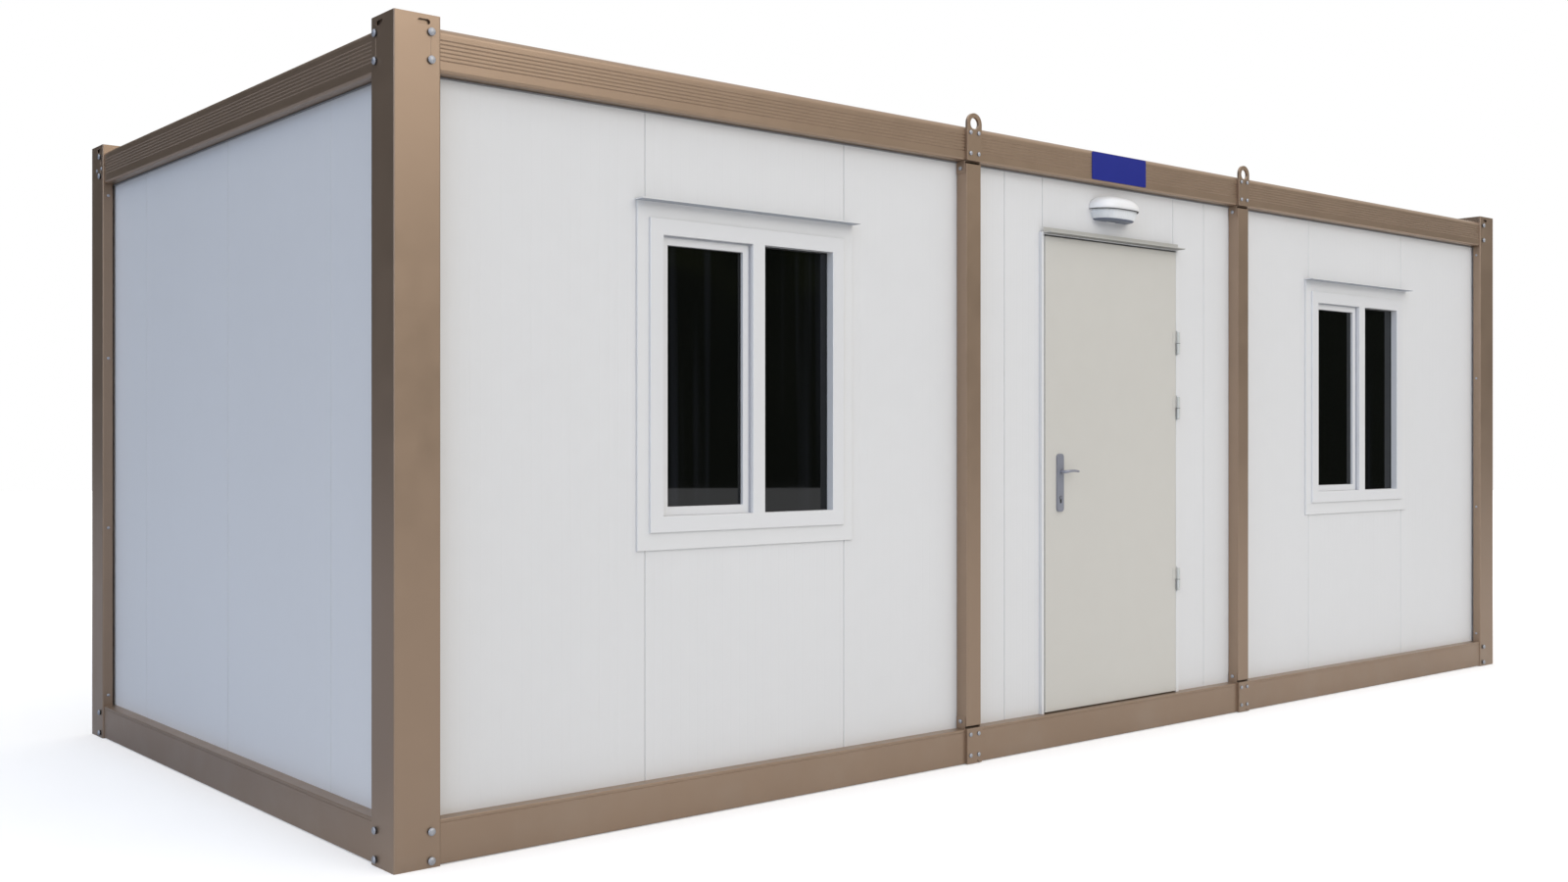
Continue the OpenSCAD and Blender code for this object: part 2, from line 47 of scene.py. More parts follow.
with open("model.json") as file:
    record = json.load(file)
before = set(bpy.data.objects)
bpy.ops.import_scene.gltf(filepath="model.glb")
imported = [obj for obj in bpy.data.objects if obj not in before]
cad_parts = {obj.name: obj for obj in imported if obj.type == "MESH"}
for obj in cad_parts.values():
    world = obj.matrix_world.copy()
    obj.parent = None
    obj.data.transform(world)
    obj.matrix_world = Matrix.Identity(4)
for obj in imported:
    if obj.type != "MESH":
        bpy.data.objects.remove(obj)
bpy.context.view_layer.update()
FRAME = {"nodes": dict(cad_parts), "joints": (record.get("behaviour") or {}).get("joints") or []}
NODES = FRAME["nodes"]
TURN = 2 * math.pi


def box(node):
    """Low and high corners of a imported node, as arrays."""
    low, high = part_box(node)
    return np.array(low), np.array(high)


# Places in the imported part. The plain numbers for the middle posts, slots, gaps and hinges are those of its
# source; BOLT_BACK, from a post's inner edge to its bolts, and PANEL_WIDTH are used by the fine parts alone.
POST_LOW, POST_HIGH = box("corner_post_front_left")
HALF_X, HALF_Y = -POST_LOW[0], -POST_LOW[1]
POST_W = POST_HIGH[0] - POST_LOW[0]
WALL_LOW, WALL_HIGH = box("front_wall_left_bay")
PANEL_IN, CORE = WALL_LOW[1] + HALF_Y, WALL_HIGH[1] + HALF_Y
FLOOR, WALL_TOP = WALL_LOW[2], WALL_HIGH[2]
RAIL_LOW, RAIL_HIGH = box("top_rail_front")
BASE_LOW, BASE_HIGH = box("base_rail_front")
RAIL_STEP = RAIL_LOW[1] + HALF_Y
SLOT_Z = POST_HIGH[2] - 0.023
PLATE_FACE = box("lifting_plates")[0][1] + HALF_Y
SHOE_END = box("post_shoes")[1][0]
MID_POST_W = 0.085
MID_POST_X = box("mid_posts_front")[1][0] - MID_POST_W / 2
BOLT_BACK = 0.033
PANEL_WIDTH = 0.925
SASH_LOW, SASH_HIGH = box("window_sashes")
TRIM_LOW, TRIM_HIGH = box("window_trims")
LEAF_LOW, LEAF_HIGH = box("door_leaf")
LEAF_IN, LEAF_BACK = LEAF_LOW[1] + HALF_Y, LEAF_HIGH[1] + HALF_Y
DOOR_FRAME_HIGH = box("door_frame")[1]
LEAF_GAP, STOP_GAP = 0.007, 0.005
HINGE_LEVELS = (0.670, 1.468, 1.770)
JOINTS = {joint["name"]: joint for joint in FRAME["joints"]}
HINGE_X, HINGE_Y = JOINTS["door_hinge"]["pos_m"][:2]
LEVER_X, LEVER_Z = JOINTS["lever_turn"]["pos_m"][0], JOINTS["lever_turn"]["pos_m"][2]

SIDES = {
    "front": ((1, 0), (0, 1), HALF_Y),
    "rear": ((-1, 0), (0, -1), HALF_Y),
    "left": ((0, -1), (1, 0), HALF_X),
    "right": ((0, 1), (-1, 0), HALF_X),
}
LENGTHS = {"front": HALF_X, "rear": HALF_X, "left": HALF_Y, "right": HALF_Y}


# ---------------------------------------------------------------- properties


class CABIN_PG_sizes(bpy.types.PropertyGroup):
    """Sizes of the fine parts."""

    rib_pitch: bpy.props.FloatProperty(
        name="Rib pitch", description="Spacing of the fine ribs pressed in the wall panels",
        default=0.0375, min=0.02, max=0.1, subtype="DISTANCE", unit="LENGTH")
    rib_depth: bpy.props.FloatProperty(
        name="Rib depth", description="Depth of the fine ribs pressed in the wall panels",
        default=0.0005, min=0.0, max=0.003, subtype="DISTANCE", unit="LENGTH")
    seam_width: bpy.props.FloatProperty(
        name="Seam width", description="Width of the joint between two wall panels",
        default=0.005, min=0.002, max=0.012, subtype="DISTANCE", unit="LENGTH")
    bolt_radius: bpy.props.FloatProperty(
        name="Post bolt radius", description="Radius of the bolt heads on the corner posts",
        default=0.0125, min=0.008, max=0.02, subtype="DISTANCE", unit="LENGTH")
    plate_bolt_radius: bpy.props.FloatProperty(
        name="Plate bolt radius", description="Radius of the bolt heads on the plates",
        default=0.0088, min=0.006, max=0.014, subtype="DISTANCE", unit="LENGTH")
    screw_radius: bpy.props.FloatProperty(
        name="Screw radius", description="Radius of the small screw heads",
        default=0.0065, min=0.003, max=0.01, subtype="DISTANCE", unit="LENGTH")


def colour_property(name, description, default):
    """Colour shown in the panel, with its default."""
    return bpy.props.FloatVectorProperty(
        name=name, description=description, default=default, min=0, max=1, size=3, subtype="COLOR")


class CABIN_PG_colours(bpy.types.PropertyGroup):
    """Colours of the finishes."""

    frame: colour_property("Frame", "Paint of the steel frame", (0.338, 0.242, 0.172))
    panel: colour_property("Panels", "Paint of the wall panels", (0.69, 0.69, 0.692))
    trim: colour_property("Trim", "Paint of the window trim and the door frame", (0.70, 0.70, 0.70))
    plastic: colour_property("Windows", "Plastic of the window frames", (0.70, 0.70, 0.705))
    door: colour_property("Door", "Paint of the door leaf", (0.57, 0.553, 0.51))
    handle: colour_property("Handle", "Metal of the lever and its plates", (0.30, 0.31, 0.36))
    sign: colour_property("Sign plate", "Paint of the blank sign plate", (0.012, 0.020, 0.22))
    roof: colour_property("Roof", "Paint of the roof sheet", (0.60, 0.62, 0.64))


# ---------------------------------------------------------------- surfaces


def on_side(side, u, inset, z):
    """Points of the cabin from a side's own axes: minus the reach plus the inset, inwards, and u along it."""
    along, inward, reach = SIDES[side]
    u, inset, z = np.broadcast_arrays(u, inset, z)
    depth = inset - reach
    return np.stack((along[0] * u + inward[0] * depth, along[1] * u + inward[1] * depth, z), -1)


def arc(x, y, radius, start, end, steps=10):
    """Points of an arc: the centre plus the radius times cosine and sine, from start to end in degrees."""
    t = np.radians(np.linspace(start, end, steps + 1))
    return np.stack((x + radius * np.cos(t), y + radius * np.sin(t)), -1)


def rounded(x0, x1, y0, y1, radius, steps=4):
    """Outline of a rectangle whose corners are quarter circles, from the lower right, anticlockwise."""
    corners = ((x1 - radius, y0 + radius, 270), (x1 - radius, y1 - radius, 0),
               (x0 + radius, y1 - radius, 90), (x0 + radius, y0 + radius, 180))
    return np.concatenate([arc(x, y, radius, a, a + 90, steps) for x, y, a in corners])


def surface(points, wrap_rows=False, wrap_columns=False, caps=False):
    """Grid of points as quads between neighbours; caps close a tube's first and last rows."""
    rows, columns = points.shape[:2]
    r, c = np.meshgrid(np.arange(rows if wrap_rows else rows - 1),
                       np.arange(columns if wrap_columns else columns - 1), indexing="ij")
    next_r, next_c = (r + 1) % rows, (c + 1) % columns
    quads = np.stack((r * columns + c, r * columns + next_c,
                      next_r * columns + next_c, next_r * columns + c), -1).reshape(-1, 4)
    faces = quads.tolist()
    if caps:
        faces.append(list(range(columns))[::-1])
        faces.append(list(range((rows - 1) * columns, rows * columns)))
    return points.reshape(-1, 3), faces


def copies(part, shifts):
    """One part at each of many shifts: its points plus each shift."""
    points, faces = part
    shifts = np.asarray(shifts, float).reshape(-1, 1, 3)
    moved = (points[None] + shifts).reshape(-1, 3)
    every = [[i + n * len(points) for i in face] for n in range(len(shifts)) for face in faces]
    return moved, every


def turned(profile, centres, axis, segments=20):
    """Surface of revolution at each centre: profile holds (radius, distance along the axis), and the points
    are the distance times the axis plus the radius times a circle square to it."""
    profile = np.asarray(profile, float)
    axis = np.asarray(axis, float) / np.linalg.norm(axis)
    first = np.cross(axis, (0.0, 0.0, 1.0) if abs(axis[2]) < 0.9 else (1.0, 0.0, 0.0))
    first /= np.linalg.norm(first)
    second = np.cross(axis, first)
    t = np.arange(segments) * TURN / segments
    circle = np.cos(t)[:, None] * first + np.sin(t)[:, None] * second
    grid = profile[:, 0, None, None] * circle + profile[:, 1, None, None] * axis
    return copies(surface(grid, wrap_columns=True), centres)


def prism(section, side, low, high, along="z"):
    """Closed section carried straight along u or z: it holds (u, inset) for z, and (inset, z) for u."""
    section = np.asarray(section, float)
    ends = np.array((low, high))[:, None]
    if along == "z":
        grid = on_side(side, section[None, :, 0], section[None, :, 1], ends)
    else:
        grid = on_side(side, ends, section[None, :, 0], section[None, :, 1])
    return surface(grid, wrap_columns=True, caps=True)


def mitred(profile, side, middle, half, low, high, rise=1.0):
    """Closed profile carried round a rectangle with mitred corners. It holds (distance in from the
    rectangle's edge, inset), so each corner lies that distance in across, and that times the rise up."""
    a, inset = np.asarray(profile, float).T
    u = np.stack((middle - half + a, middle + half - a, middle + half - a, middle - half + a))
    z = np.stack((low + a * rise, low + a * rise, high - a * rise, high - a * rise))
    return surface(on_side(side, u, np.broadcast_to(inset, u.shape), z),
                   wrap_rows=True, wrap_columns=True)


def cushioned(outline, place, steps):
    """Plate with soft edges: an outline is drawn in towards its middle by each step's share and set at that
    step's height, and place() turns (x, y, height) into points of the cabin."""
    outline = np.asarray(outline, float)
    middle = (outline.max(0) + outline.min(0)) / 2
    half = (outline.max(0) - outline.min(0)) / 2
    steps = np.asarray(steps, float)
    shrink = 1 - steps[:, 0, None] / half
    grid = middle + (outline - middle)[None] * shrink[:, None]
    height = np.broadcast_to(steps[:, 1, None], grid.shape[:2])
    return surface(place(grid[..., 0], grid[..., 1], height), wrap_columns=True, caps=True)


def bar(ends, insets, low, high):
    """Upright bar with square edges on the front, between two places along it and two insets."""
    (u0, u1), (in0, in1) = sorted(ends), insets
    return prism(((u0, in0), (u1, in0), (u1, in1), (u0, in1)), "front", low, high)


def merged(mesh, distance, *steps):
    """Merges a mesh's points that lie within a distance, then takes each further step on it."""
    work = bmesh.new()
    work.from_mesh(mesh)
    bmesh.ops.remove_doubles(work, verts=work.verts, dist=distance)
    for step in steps:
        step(work)
    work.to_mesh(mesh)
    work.free()


def outwards(work):
    """Turns a mesh's faces outwards."""
    bmesh.ops.recalc_face_normals(work, faces=work.faces)


def piece(name, parts, body, finish, slot=None, replaces=(), sharp=35.0):
    """Mesh piece from surfaces, joined, with doubled points merged and faces turned outwards."""
    counts = np.cumsum([0] + [len(points) for points, _ in parts])
    points = np.concatenate([p for p, _ in parts])
    faces = [[i + start for i in face] for start, (_, many) in zip(counts, parts) for face in many]
    mesh = bpy.data.meshes.new(name)
    mesh.from_pydata(points.tolist(), [], faces)
    merged(mesh, 1e-6,
           lambda work: bmesh.ops.dissolve_degenerate(work, edges=work.edges, dist=1e-7), outwards)
    return settle(name, mesh, body, finish, slot, replaces, sharp)


def look(name):
    """The cabin's own material of that name."""
    return bpy.data.materials["cabin_" + name]


def settle(name, mesh, body, finish, slot, replaces, sharp, bevel=0.0):
    """Links a finished mesh, gives it its finish and soft edges, and sets it on its body."""
    mesh.shade_smooth()
    if not bevel:
        mesh.set_sharp_from_angle(angle=math.radians(sharp))
    made = bpy.data.objects.new(name, mesh)
    bpy.context.scene.collection.objects.link(made)
    mesh.materials.clear()
    mesh.materials.append(look(finish))
    if bevel:
        soft = made.modifiers.new("soft edges", "BEVEL")
        soft.width = bevel
        soft.segments = 2
        soft.limit_method = "ANGLE"
        soft.angle_limit = math.radians(sharp)
    flat = made.modifiers.new("flat faces", "WEIGHTED_NORMAL")
    flat.mode, flat.weight, flat.keep_sharp = "FACE_AREA", 100, True
    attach(made, body)
    if replaces:
        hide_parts(*replaces)
    return made


def softened(node, name, body, finish, slot, width):
    """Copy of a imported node, merged, with its edges rounded, which stands for the node."""
    mesh = NODES[node].data.copy()
    merged(mesh, 1e-5, lambda work: bmesh.ops.dissolve_limit(
        work, angle_limit=math.radians(0.5), verts=work.verts, edges=work.edges))
    mesh.name = name
    settle(name, mesh, body, finish, slot, (node,), 35.0, width)


def paint_node(node, finish):
    """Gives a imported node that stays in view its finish."""
    data = NODES[node].data
    data.materials.clear()
    data.materials.append(look(finish))


# ---------------------------------------------------------------- finishes


class Shade:
    """One output socket of a node tree. Arithmetic on it adds Math nodes."""

    def __init__(self, tree, socket=None):
        self.tree, self.socket = tree, socket

    def add(self, kind, settings=None, sockets=None, out=0):
        """Adds a node: its settings first, then the values or links of its sockets. Returns one output."""
        made = self.tree.nodes.new(kind)
        for key, value in (settings or {}).items():
            setattr(made, key, value)
        for key, value in (sockets or {}).items():
            if isinstance(value, Shade):
                self.tree.links.new(value.socket, made.inputs[key])
            else:
                made.inputs[key].default_value = value
        return Shade(self.tree, made.outputs[out] if made.outputs else None)

    def _math(self, operation, first, second):
        return self.add("ShaderNodeMath", {"operation": operation}, {0: first, 1: second})

    def __add__(self, other):
        return self._math("ADD", self, other)

    def __radd__(self, other):
        return self._math("ADD", other, self)

    def __sub__(self, other):
        return self._math("SUBTRACT", self, other)

    def __rsub__(self, other):
        return self._math("SUBTRACT", other, self)

    def __mul__(self, other):
        return self._math("MULTIPLY", self, other)


def place_of(g):
    """Object coordinates, which are the cabin's own metres."""
    return g.add("ShaderNodeTexCoord", out="Object")


def axis_of(g, where, axis):
    """One axis of a vector, 0 for x to 2 for z."""
    return g.add("ShaderNodeSeparateXYZ", None, {0: where}, axis)


def noise(g, where, scale, detail=3.0, stretch=(1.0, 1.0, 1.0), rough=0.5):
    """Noise, 0 to 1 about a half, on coordinates stretched per axis."""
    spread = g.add("ShaderNodeVectorMath", {"operation": "MULTIPLY"}, {0: where, 1: stretch})
    return g.add("ShaderNodeTexNoise", {"noise_dimensions": "3D"},
                 {"Vector": spread, "Scale": scale, "Detail": detail, "Roughness": rough})


def ramp01(g, value, low, high):
    """Smooth step of a value, 0 at low and 1 at high."""
    return g.add("ShaderNodeMapRange", {"interpolation_type": "SMOOTHSTEP", "clamp": True},
                 {"Value": value, "From Min": low, "From Max": high, "To Min": 0.0, "To Max": 1.0})


def blend(g, share, first, second):
    """Mix of two colours."""
    def full(colour):
        return colour if isinstance(colour, Shade) else (*colour[:3], 1.0)
    return g.add("ShaderNodeMix", {"data_type": "RGBA", "clamp_factor": True},
                 {0: share, 6: full(first), 7: full(second)}, 2)


def tinted(colour, share):
    """Colour made lighter or darker by a share."""
    return tuple(min(1.0, c * share) for c in colour)


def bump(g, height, distance):
    """Bump whose full height is a distance in metres, as a normal."""
    return g.add("ShaderNodeBump", None, {"Strength": 1.0, "Distance": distance, "Height": height})


def make_finish(name, fixed, varying):
    """Material: fixed numbers go straight on the shader's sockets, and varying() returns linked ones."""
    material = bpy.data.materials.new("cabin_" + name)
    material.use_nodes = True
    tree = material.node_tree
    tree.nodes.clear()
    output = tree.nodes.new("ShaderNodeOutputMaterial")
    shader = tree.nodes.new("ShaderNodeBsdfPrincipled")
    tree.links.new(shader.outputs[0], output.inputs[0])
    for key, value in fixed.items():
        shader.inputs[key].default_value = value
    for key, link in varying(Shade(tree)).items():
        tree.links.new(link.socket, shader.inputs[key])


def painted(name, colour, rough, cloud, peel, dust=0.0, fixed=None, gloss=0.14):
    """Sprayed or powder paint: soft clouds of tone, a fine orange peel and, low down, a little dust."""
    def varying(g):
        where = place_of(g)
        broad, fine = noise(g, where, 0.8, 3.0), noise(g, where, 11.0, 4.0)
        tone = broad * 0.65 + fine * 0.35
        base = blend(g, ramp01(g, tone, 0.3, 0.7), tinted(colour, 1 - cloud), tinted(colour, 1 + cloud))
        if dust:
            low = 1 - ramp01(g, axis_of(g, where, 2), 0.0, 0.45)
            base = blend(g, low * ramp01(g, noise(g, where, 5.0, 5.0), 0.35, 0.8) * dust,
                         base, (0.52, 0.49, 0.44))
        skin = noise(g, where, 260.0, 2.0) * 0.7 + noise(g, where, 900.0, 1.0) * 0.3
        return {"Base Color": base, "Roughness": rough + (fine - 0.5) * gloss,
                "Normal": bump(g, skin, peel)}
    make_finish(name, fixed or {}, varying)


def make_finishes(colours):
    """All of the cabin's materials. A paint's row holds its colour, roughness, cloud, peel, dust and fixed
    sockets, and a metal's its colour, roughness, size of cell, spread of tone and metallic share."""
    paints = {
        "frame_paint": (colours.frame, 0.36, 0.035, 0.00005, 0.10, {"Metallic": 0.66}),
        "panel_paint": (colours.panel, 0.45, 0.012, 0.00003, 0.05),
        "trim_paint": (colours.trim, 0.38, 0.01, 0.00002),
        "window_plastic": (colours.plastic, 0.28, 0.003, 0.00001, 0.0,
                           {"Coat Weight": 0.15, "Coat Roughness": 0.2}, 0.02),
        "door_paint": (colours.door, 0.40, 0.014, 0.00003, 0.04),
        "sign_paint": (colours.sign, 0.30, 0.03, 0.00001, 0.0, {"Specular IOR Level": 0.25}),
        "lamp_shell": ((0.80, 0.80, 0.80), 0.30, 0.008, 0.00001),
        "roof_metal": (colours.roof, 0.42, 0.05, 0.00003, 0.0, {"Metallic": 0.25}),
        "ceiling_board": ((0.78, 0.78, 0.77), 0.6, 0.012, 0.00005),
        # Dark grey strips under the top rails: painted shadow below each rail.
        "seal_foam": ((0.22, 0.22, 0.225), 0.8, 0.08, 0.0002),
        # Grey-blue strips under the window caps: painted shade of each cap's underside.
        "cap_strip": ((0.35, 0.37, 0.41), 0.6, 0.03, 0.0001),
        # Dark strip under the door's drip cap: painted shade of its underside.
        "door_strip": ((0.26, 0.255, 0.24), 0.6, 0.03, 0.0001),
        # The door cap's beige grey, darkened as painted shade.
        "cap_paint": ((0.46, 0.45, 0.42), 0.45, 0.02, 0.00002),
        # Grey of the sash's brush strips, also a painted shade line round the sash.
        "sash_brush": ((0.38, 0.39, 0.42), 0.9, 0.10, 0.0003),
        # Dark blue-grey for the lamp's underside: painted shade.
        "lamp_tray": ((0.12, 0.14, 0.19), 0.4, 0.03, 0.00002),
    }
    for name, values in paints.items():
        painted(name, *values)

    def spangle(colour, rough, size, spread):
        """Zinc: crystals of differing tone and gloss from cells, dulled by a broad bloom."""
        def varying(g):
            where = place_of(g)
            cells = g.add("ShaderNodeTexVoronoi", {"feature": "F1"}, {"Vector": where, "Scale": size}, 1)
            flake = g.add("ShaderNodeSeparateColor", None, {0: cells}, 0)
            bloom = noise(g, where, 6.0, 4.0)
            base = blend(g, flake * 0.7 + bloom * 0.3, tinted(colour, 1 - spread), tinted(colour, 1 + spread))
            return {"Base Color": base, "Roughness": rough + flake * 0.12 + bloom * 0.1,
                    "Normal": bump(g, noise(g, where, 500.0, 2.0), 0.00003)}
        return varying
    metals = {
        "galvanised": ((0.60, 0.61, 0.63), 0.34, 70.0, 0.14, 0.85),
        "bolt_zinc": ((0.42, 0.43, 0.46), 0.34, 400.0, 0.08, 0.7),
        "hinge_metal": ((0.58, 0.59, 0.56), 0.36, 300.0, 0.05, 0.3),
    }
    for name, (*values, metallic) in metals.items():
        make_finish(name, {"Metallic": metallic}, spangle(*values))

    def brushed(g):
        where = place_of(g)
        lines = noise(g, where, 40.0, 3.0, (30.0, 30.0, 1.0))
        smear = noise(g, where, 22.0, 3.0)
        return {"Base Color": blend(g, lines * 0.6 + smear * 0.4, tinted(colours.handle, 0.88),
                                    tinted(colours.handle, 1.12)),
                "Roughness": 0.30 + lines * 0.14, "Normal": bump(g, lines, 0.00002)}
    make_finish("handle_metal", {"Metallic": 0.55}, brushed)

    def dark_glass(g):
        where = place_of(g)
        haze = noise(g, where, 2.2, 4.0)
        smear = noise(g, where, 9.0, 3.0, (1.0, 1.0, 0.35))
        # Upright bands of painted light in the glass's colour, a little brighter and bluer than the dark.
        light_streaks = ramp01(g, noise(g, where, 13.0, 2.0, (1.0, 1.0, 0.02)), 0.52, 0.72)
        dark = blend(g, haze, (0.0018, 0.0022, 0.0020), (0.0040, 0.0044, 0.0034))
        return {"Base Color": blend(g, light_streaks, dark, (0.0095, 0.0105, 0.0130)),
                "Roughness": 0.015 + ramp01(g, smear, 0.55, 0.9) * 0.03}
    make_finish("window_glass", {"IOR": 1.5}, dark_glass)

    def pressed_glass(g):
        where = place_of(g)
        return {"Base Color": blend(g, noise(g, where, 30.0, 3.0), (0.86, 0.88, 0.90), (0.94, 0.96, 0.97)),
                "Roughness": 0.10 + noise(g, where, 60.0, 2.0) * 0.10}
    make_finish("lamp_glass", {"IOR": 1.46, "Transmission Weight": 0.2, "Coat Weight": 0.4}, pressed_glass)

    # Near-black rubber for the seals; the same black is also painted shade in the lamp's lip line, the lock
    # cylinders and the post bolts' seats.
    def rubber(g):
        where = place_of(g)
        grain = noise(g, where, 120.0, 4.0)
        return {"Base Color": blend(g, grain, (0.010, 0.010, 0.011), (0.022, 0.022, 0.023)),
                "Roughness": 0.62 + grain * 0.2, "Normal": bump(g, grain, 0.0001)}
    make_finish("seal_rubber", {}, rubber)

    def deck(g):
        where = place_of(g)
        grain = noise(g, where, 5.0, 6.0, (1.0, 14.0, 1.0), 0.62)
        fleck = noise(g, where, 160.0, 3.0)
        seam = g.add("ShaderNodeMath", {"operation": "PINGPONG"}, {0: axis_of(g, where, 0), 1: 0.625})
        joint = 1 - ramp01(g, seam, 0.0008, 0.0022)
        base = blend(g, grain * 0.8 + fleck * 0.2, (0.185, 0.135, 0.092), (0.33, 0.255, 0.18))
        return {"Base Color": blend(g, joint, base, (0.03, 0.024, 0.018)),
                "Roughness": 0.46 + fleck * 0.2,
                "Normal": bump(g, fleck * 0.4 + grain * 0.3 - joint, 0.0003)}
    make_finish("deck_board", {}, deck)

    def pale_floor(g):
        where = place_of(g)
        distance = g.add("ShaderNodeVectorMath", {"operation": "LENGTH"}, {0: where}, 1)
        speck = noise(g, where, 3.0, 3.0)
        seen = g.add("ShaderNodeLightPath", out="Is Camera Ray")
        # For all but camera rays the floor is darker and bluer to the cabin's left and behind it: painted
        # shade of the cabin.
        shade = ramp01(g, axis_of(g, where, 1) - axis_of(g, where, 0), 1.0, 4.5)
        pale = blend(g, speck, (0.74, 0.74, 0.74), (0.77, 0.77, 0.77))
        return {"Base Color": blend(g, (1 - seen) * shade, pale, (0.40, 0.43, 0.49)),
                # Camera rays see emission that grows from 4 m to 12 m out, fading the floor into the white
                # backdrop and leaving a painted shadow pool round the cabin.
                "Emission Color": blend(g, seen * (0.32 + ramp01(g, distance, 4.0, 12.0) * 0.80),
                                        (0.0, 0.0, 0.0), (1.0, 1.0, 1.0))}
    make_finish("stage_floor", {"Roughness": 0.9, "Specular IOR Level": 0.0, "Emission Strength": 1.0},
                pale_floor)


# ---------------------------------------------------------------- wall panels


def ribbed_wall(side, low, high, bottom, seams, sizes, hole=None):
    """Sandwich panel between two places along a side. The outer skin is a height over (u, z) that depends on
    u alone: fine ribs at an even pitch, and a notch at each seam. Cells inside the hole are left out, and
    edges between a kept and a missing cell are closed through the wall."""
    slope, pitch = sizes.rib_depth, sizes.rib_pitch
    broad, narrow, ramp = 0.0014, 0.0007, 3.0
    notch_depth, notch_floor, keep_off = 0.0035, 0.45, 1.6
    anchor = seams[0] if len(seams) else low
    centres = anchor + pitch * np.arange(math.ceil((low - anchor) / pitch), (high - anchor) / pitch)
    clear = np.array([low, high, *seams, *(hole[:2] if hole else ())])
    centres = centres[np.abs(centres[:, None] - clear).min(1) > sizes.seam_width * keep_off]
    count = np.arange(len(centres)) % 2
    half = np.where(count == 0, broad, narrow)[:, None]
    offsets = np.array((-1.0, -1.0, 1.0, 1.0)) * half + np.array((-ramp, 0.0, 0.0, ramp)) * slope
    ribs = np.stack((centres[:, None] + offsets,
                     np.broadcast_to((0.0, slope, slope, 0.0), offsets.shape)), -1).reshape(-1, 2)
    w = sizes.seam_width / 2
    notch = np.array(((-w, 0.0), (-w * notch_floor, notch_depth), (w * notch_floor, notch_depth), (w, 0.0)))
    joints = (np.asarray(seams, float)[:, None, None] * (1.0, 0.0) + notch).reshape(-1, 2)
    ends = np.array([(low, 0.0), (high, 0.0)] + [(edge, 0.0) for edge in (hole[:2] if hole else ())])
    stations = np.concatenate((ribs, joints, ends))
    stations = stations[np.argsort(stations[:, 0])]
    u, sunk = stations.T
    inner = np.zeros_like(sunk)
    seam = np.isin(u, joints[:, 0])
    inner[seam] = sunk[seam]
    z = np.array([bottom, *(hole[2:] if hole else ()), WALL_TOP])
    keep = np.ones((len(u) - 1, len(z) - 1), bool)
    if hole:
        middle = (u[:-1] + u[1:]) / 2
        keep[(middle > hole[0]) & (middle < hole[1]), 1] = False
    outer = on_side(side, u[:, None], PANEL_IN + sunk[:, None], z[None])
    back = on_side(side, u[:, None], CORE - inner[:, None], z[None])
    points = np.concatenate((outer.reshape(-1, 3), back.reshape(-1, 3)))
    across, total = len(z), len(u) * len(z)
    i, j = np.nonzero(keep)
    face = np.stack((i * across + j, (i + 1) * across + j, (i + 1) * across + j + 1, i * across + j + 1), -1)
    faces = [face, face[:, ::-1] + total]
    padded = np.pad(keep, 1)
    here = padded[1:-1, 1:-1]
    edges = (((0, 1), (0, 0), (0, 1)), ((2, 1), (1, 0), (1, 1)), ((1, 0), (0, 0), (1, 0)),
             ((1, 2), (0, 1), (1, 1)))
    for (di, dj), start, end in edges:
        beside = padded[di:di + keep.shape[0], dj:dj + keep.shape[1]]
        i, j = np.nonzero(here & ~beside)
        a = (i + start[0]) * across + j + start[1]
        b = (i + end[0]) * across + j + end[1]
        faces.append(np.stack((a, b, b + total, a + total), -1))
    return points, np.concatenate(faces).tolist()


def wall_span(node, side):
    """Where a wall's node starts and ends along its side, and its bottom."""
    low, high = box(node)
    along = np.array(SIDES[side][0])
    return (*sorted((low[:2] @ along, high[:2] @ along)), low[2])


def window_box(node):
    """Hole that a window's frame fills, as (low u, high u, low z, high z) on the front."""
    low, high = box(node)
    return low[0], high[0], low[2], high[2]


class CABIN_OT_walls(bpy.types.Operator):
    """Sandwich panels with fine ribs and joints"""

    bl_idname = "cabin.walls"
    bl_label = "Wall panels"

    def execute(self, context):
        sizes = context.scene.cabin_sizes
        left_hole, right_hole = window_box("window_frame_left"), window_box("window_frame_right")
        middle = (left_hole[0] + left_hole[1]) / 2
        step, door_seam = PANEL_WIDTH / 2, 0.704
        walls = (
            ("front_wall_left_bay", "front", (middle - step, middle + step), left_hole),
            ("front_wall_latch_side", "front", (-door_seam,), None),
            ("front_wall_over_door", "front", (-step, step), None),
            ("front_wall_hinge_side", "front", (door_seam,), None),
            ("front_wall_right_bay", "front", (-middle - step, -middle + step), right_hole),
            ("left_wall", "left", (-PANEL_WIDTH, 0.0, PANEL_WIDTH), None),
            ("right_wall", "right", (-PANEL_WIDTH, 0.0, PANEL_WIDTH), None),
            ("rear_wall", "rear", tuple(np.arange(-3, 4) * PANEL_WIDTH), None),
        )
        for node, side, seams, hole in walls:
            part = ribbed_wall(side, *wall_span(node, side), seams, sizes, hole)
            piece("panel_" + node, [part], "cabin", "panel_paint", "panel_paint", (node,), 20.0)
        return {"FINISHED"}


# ---------------------------------------------------------------- steel frame


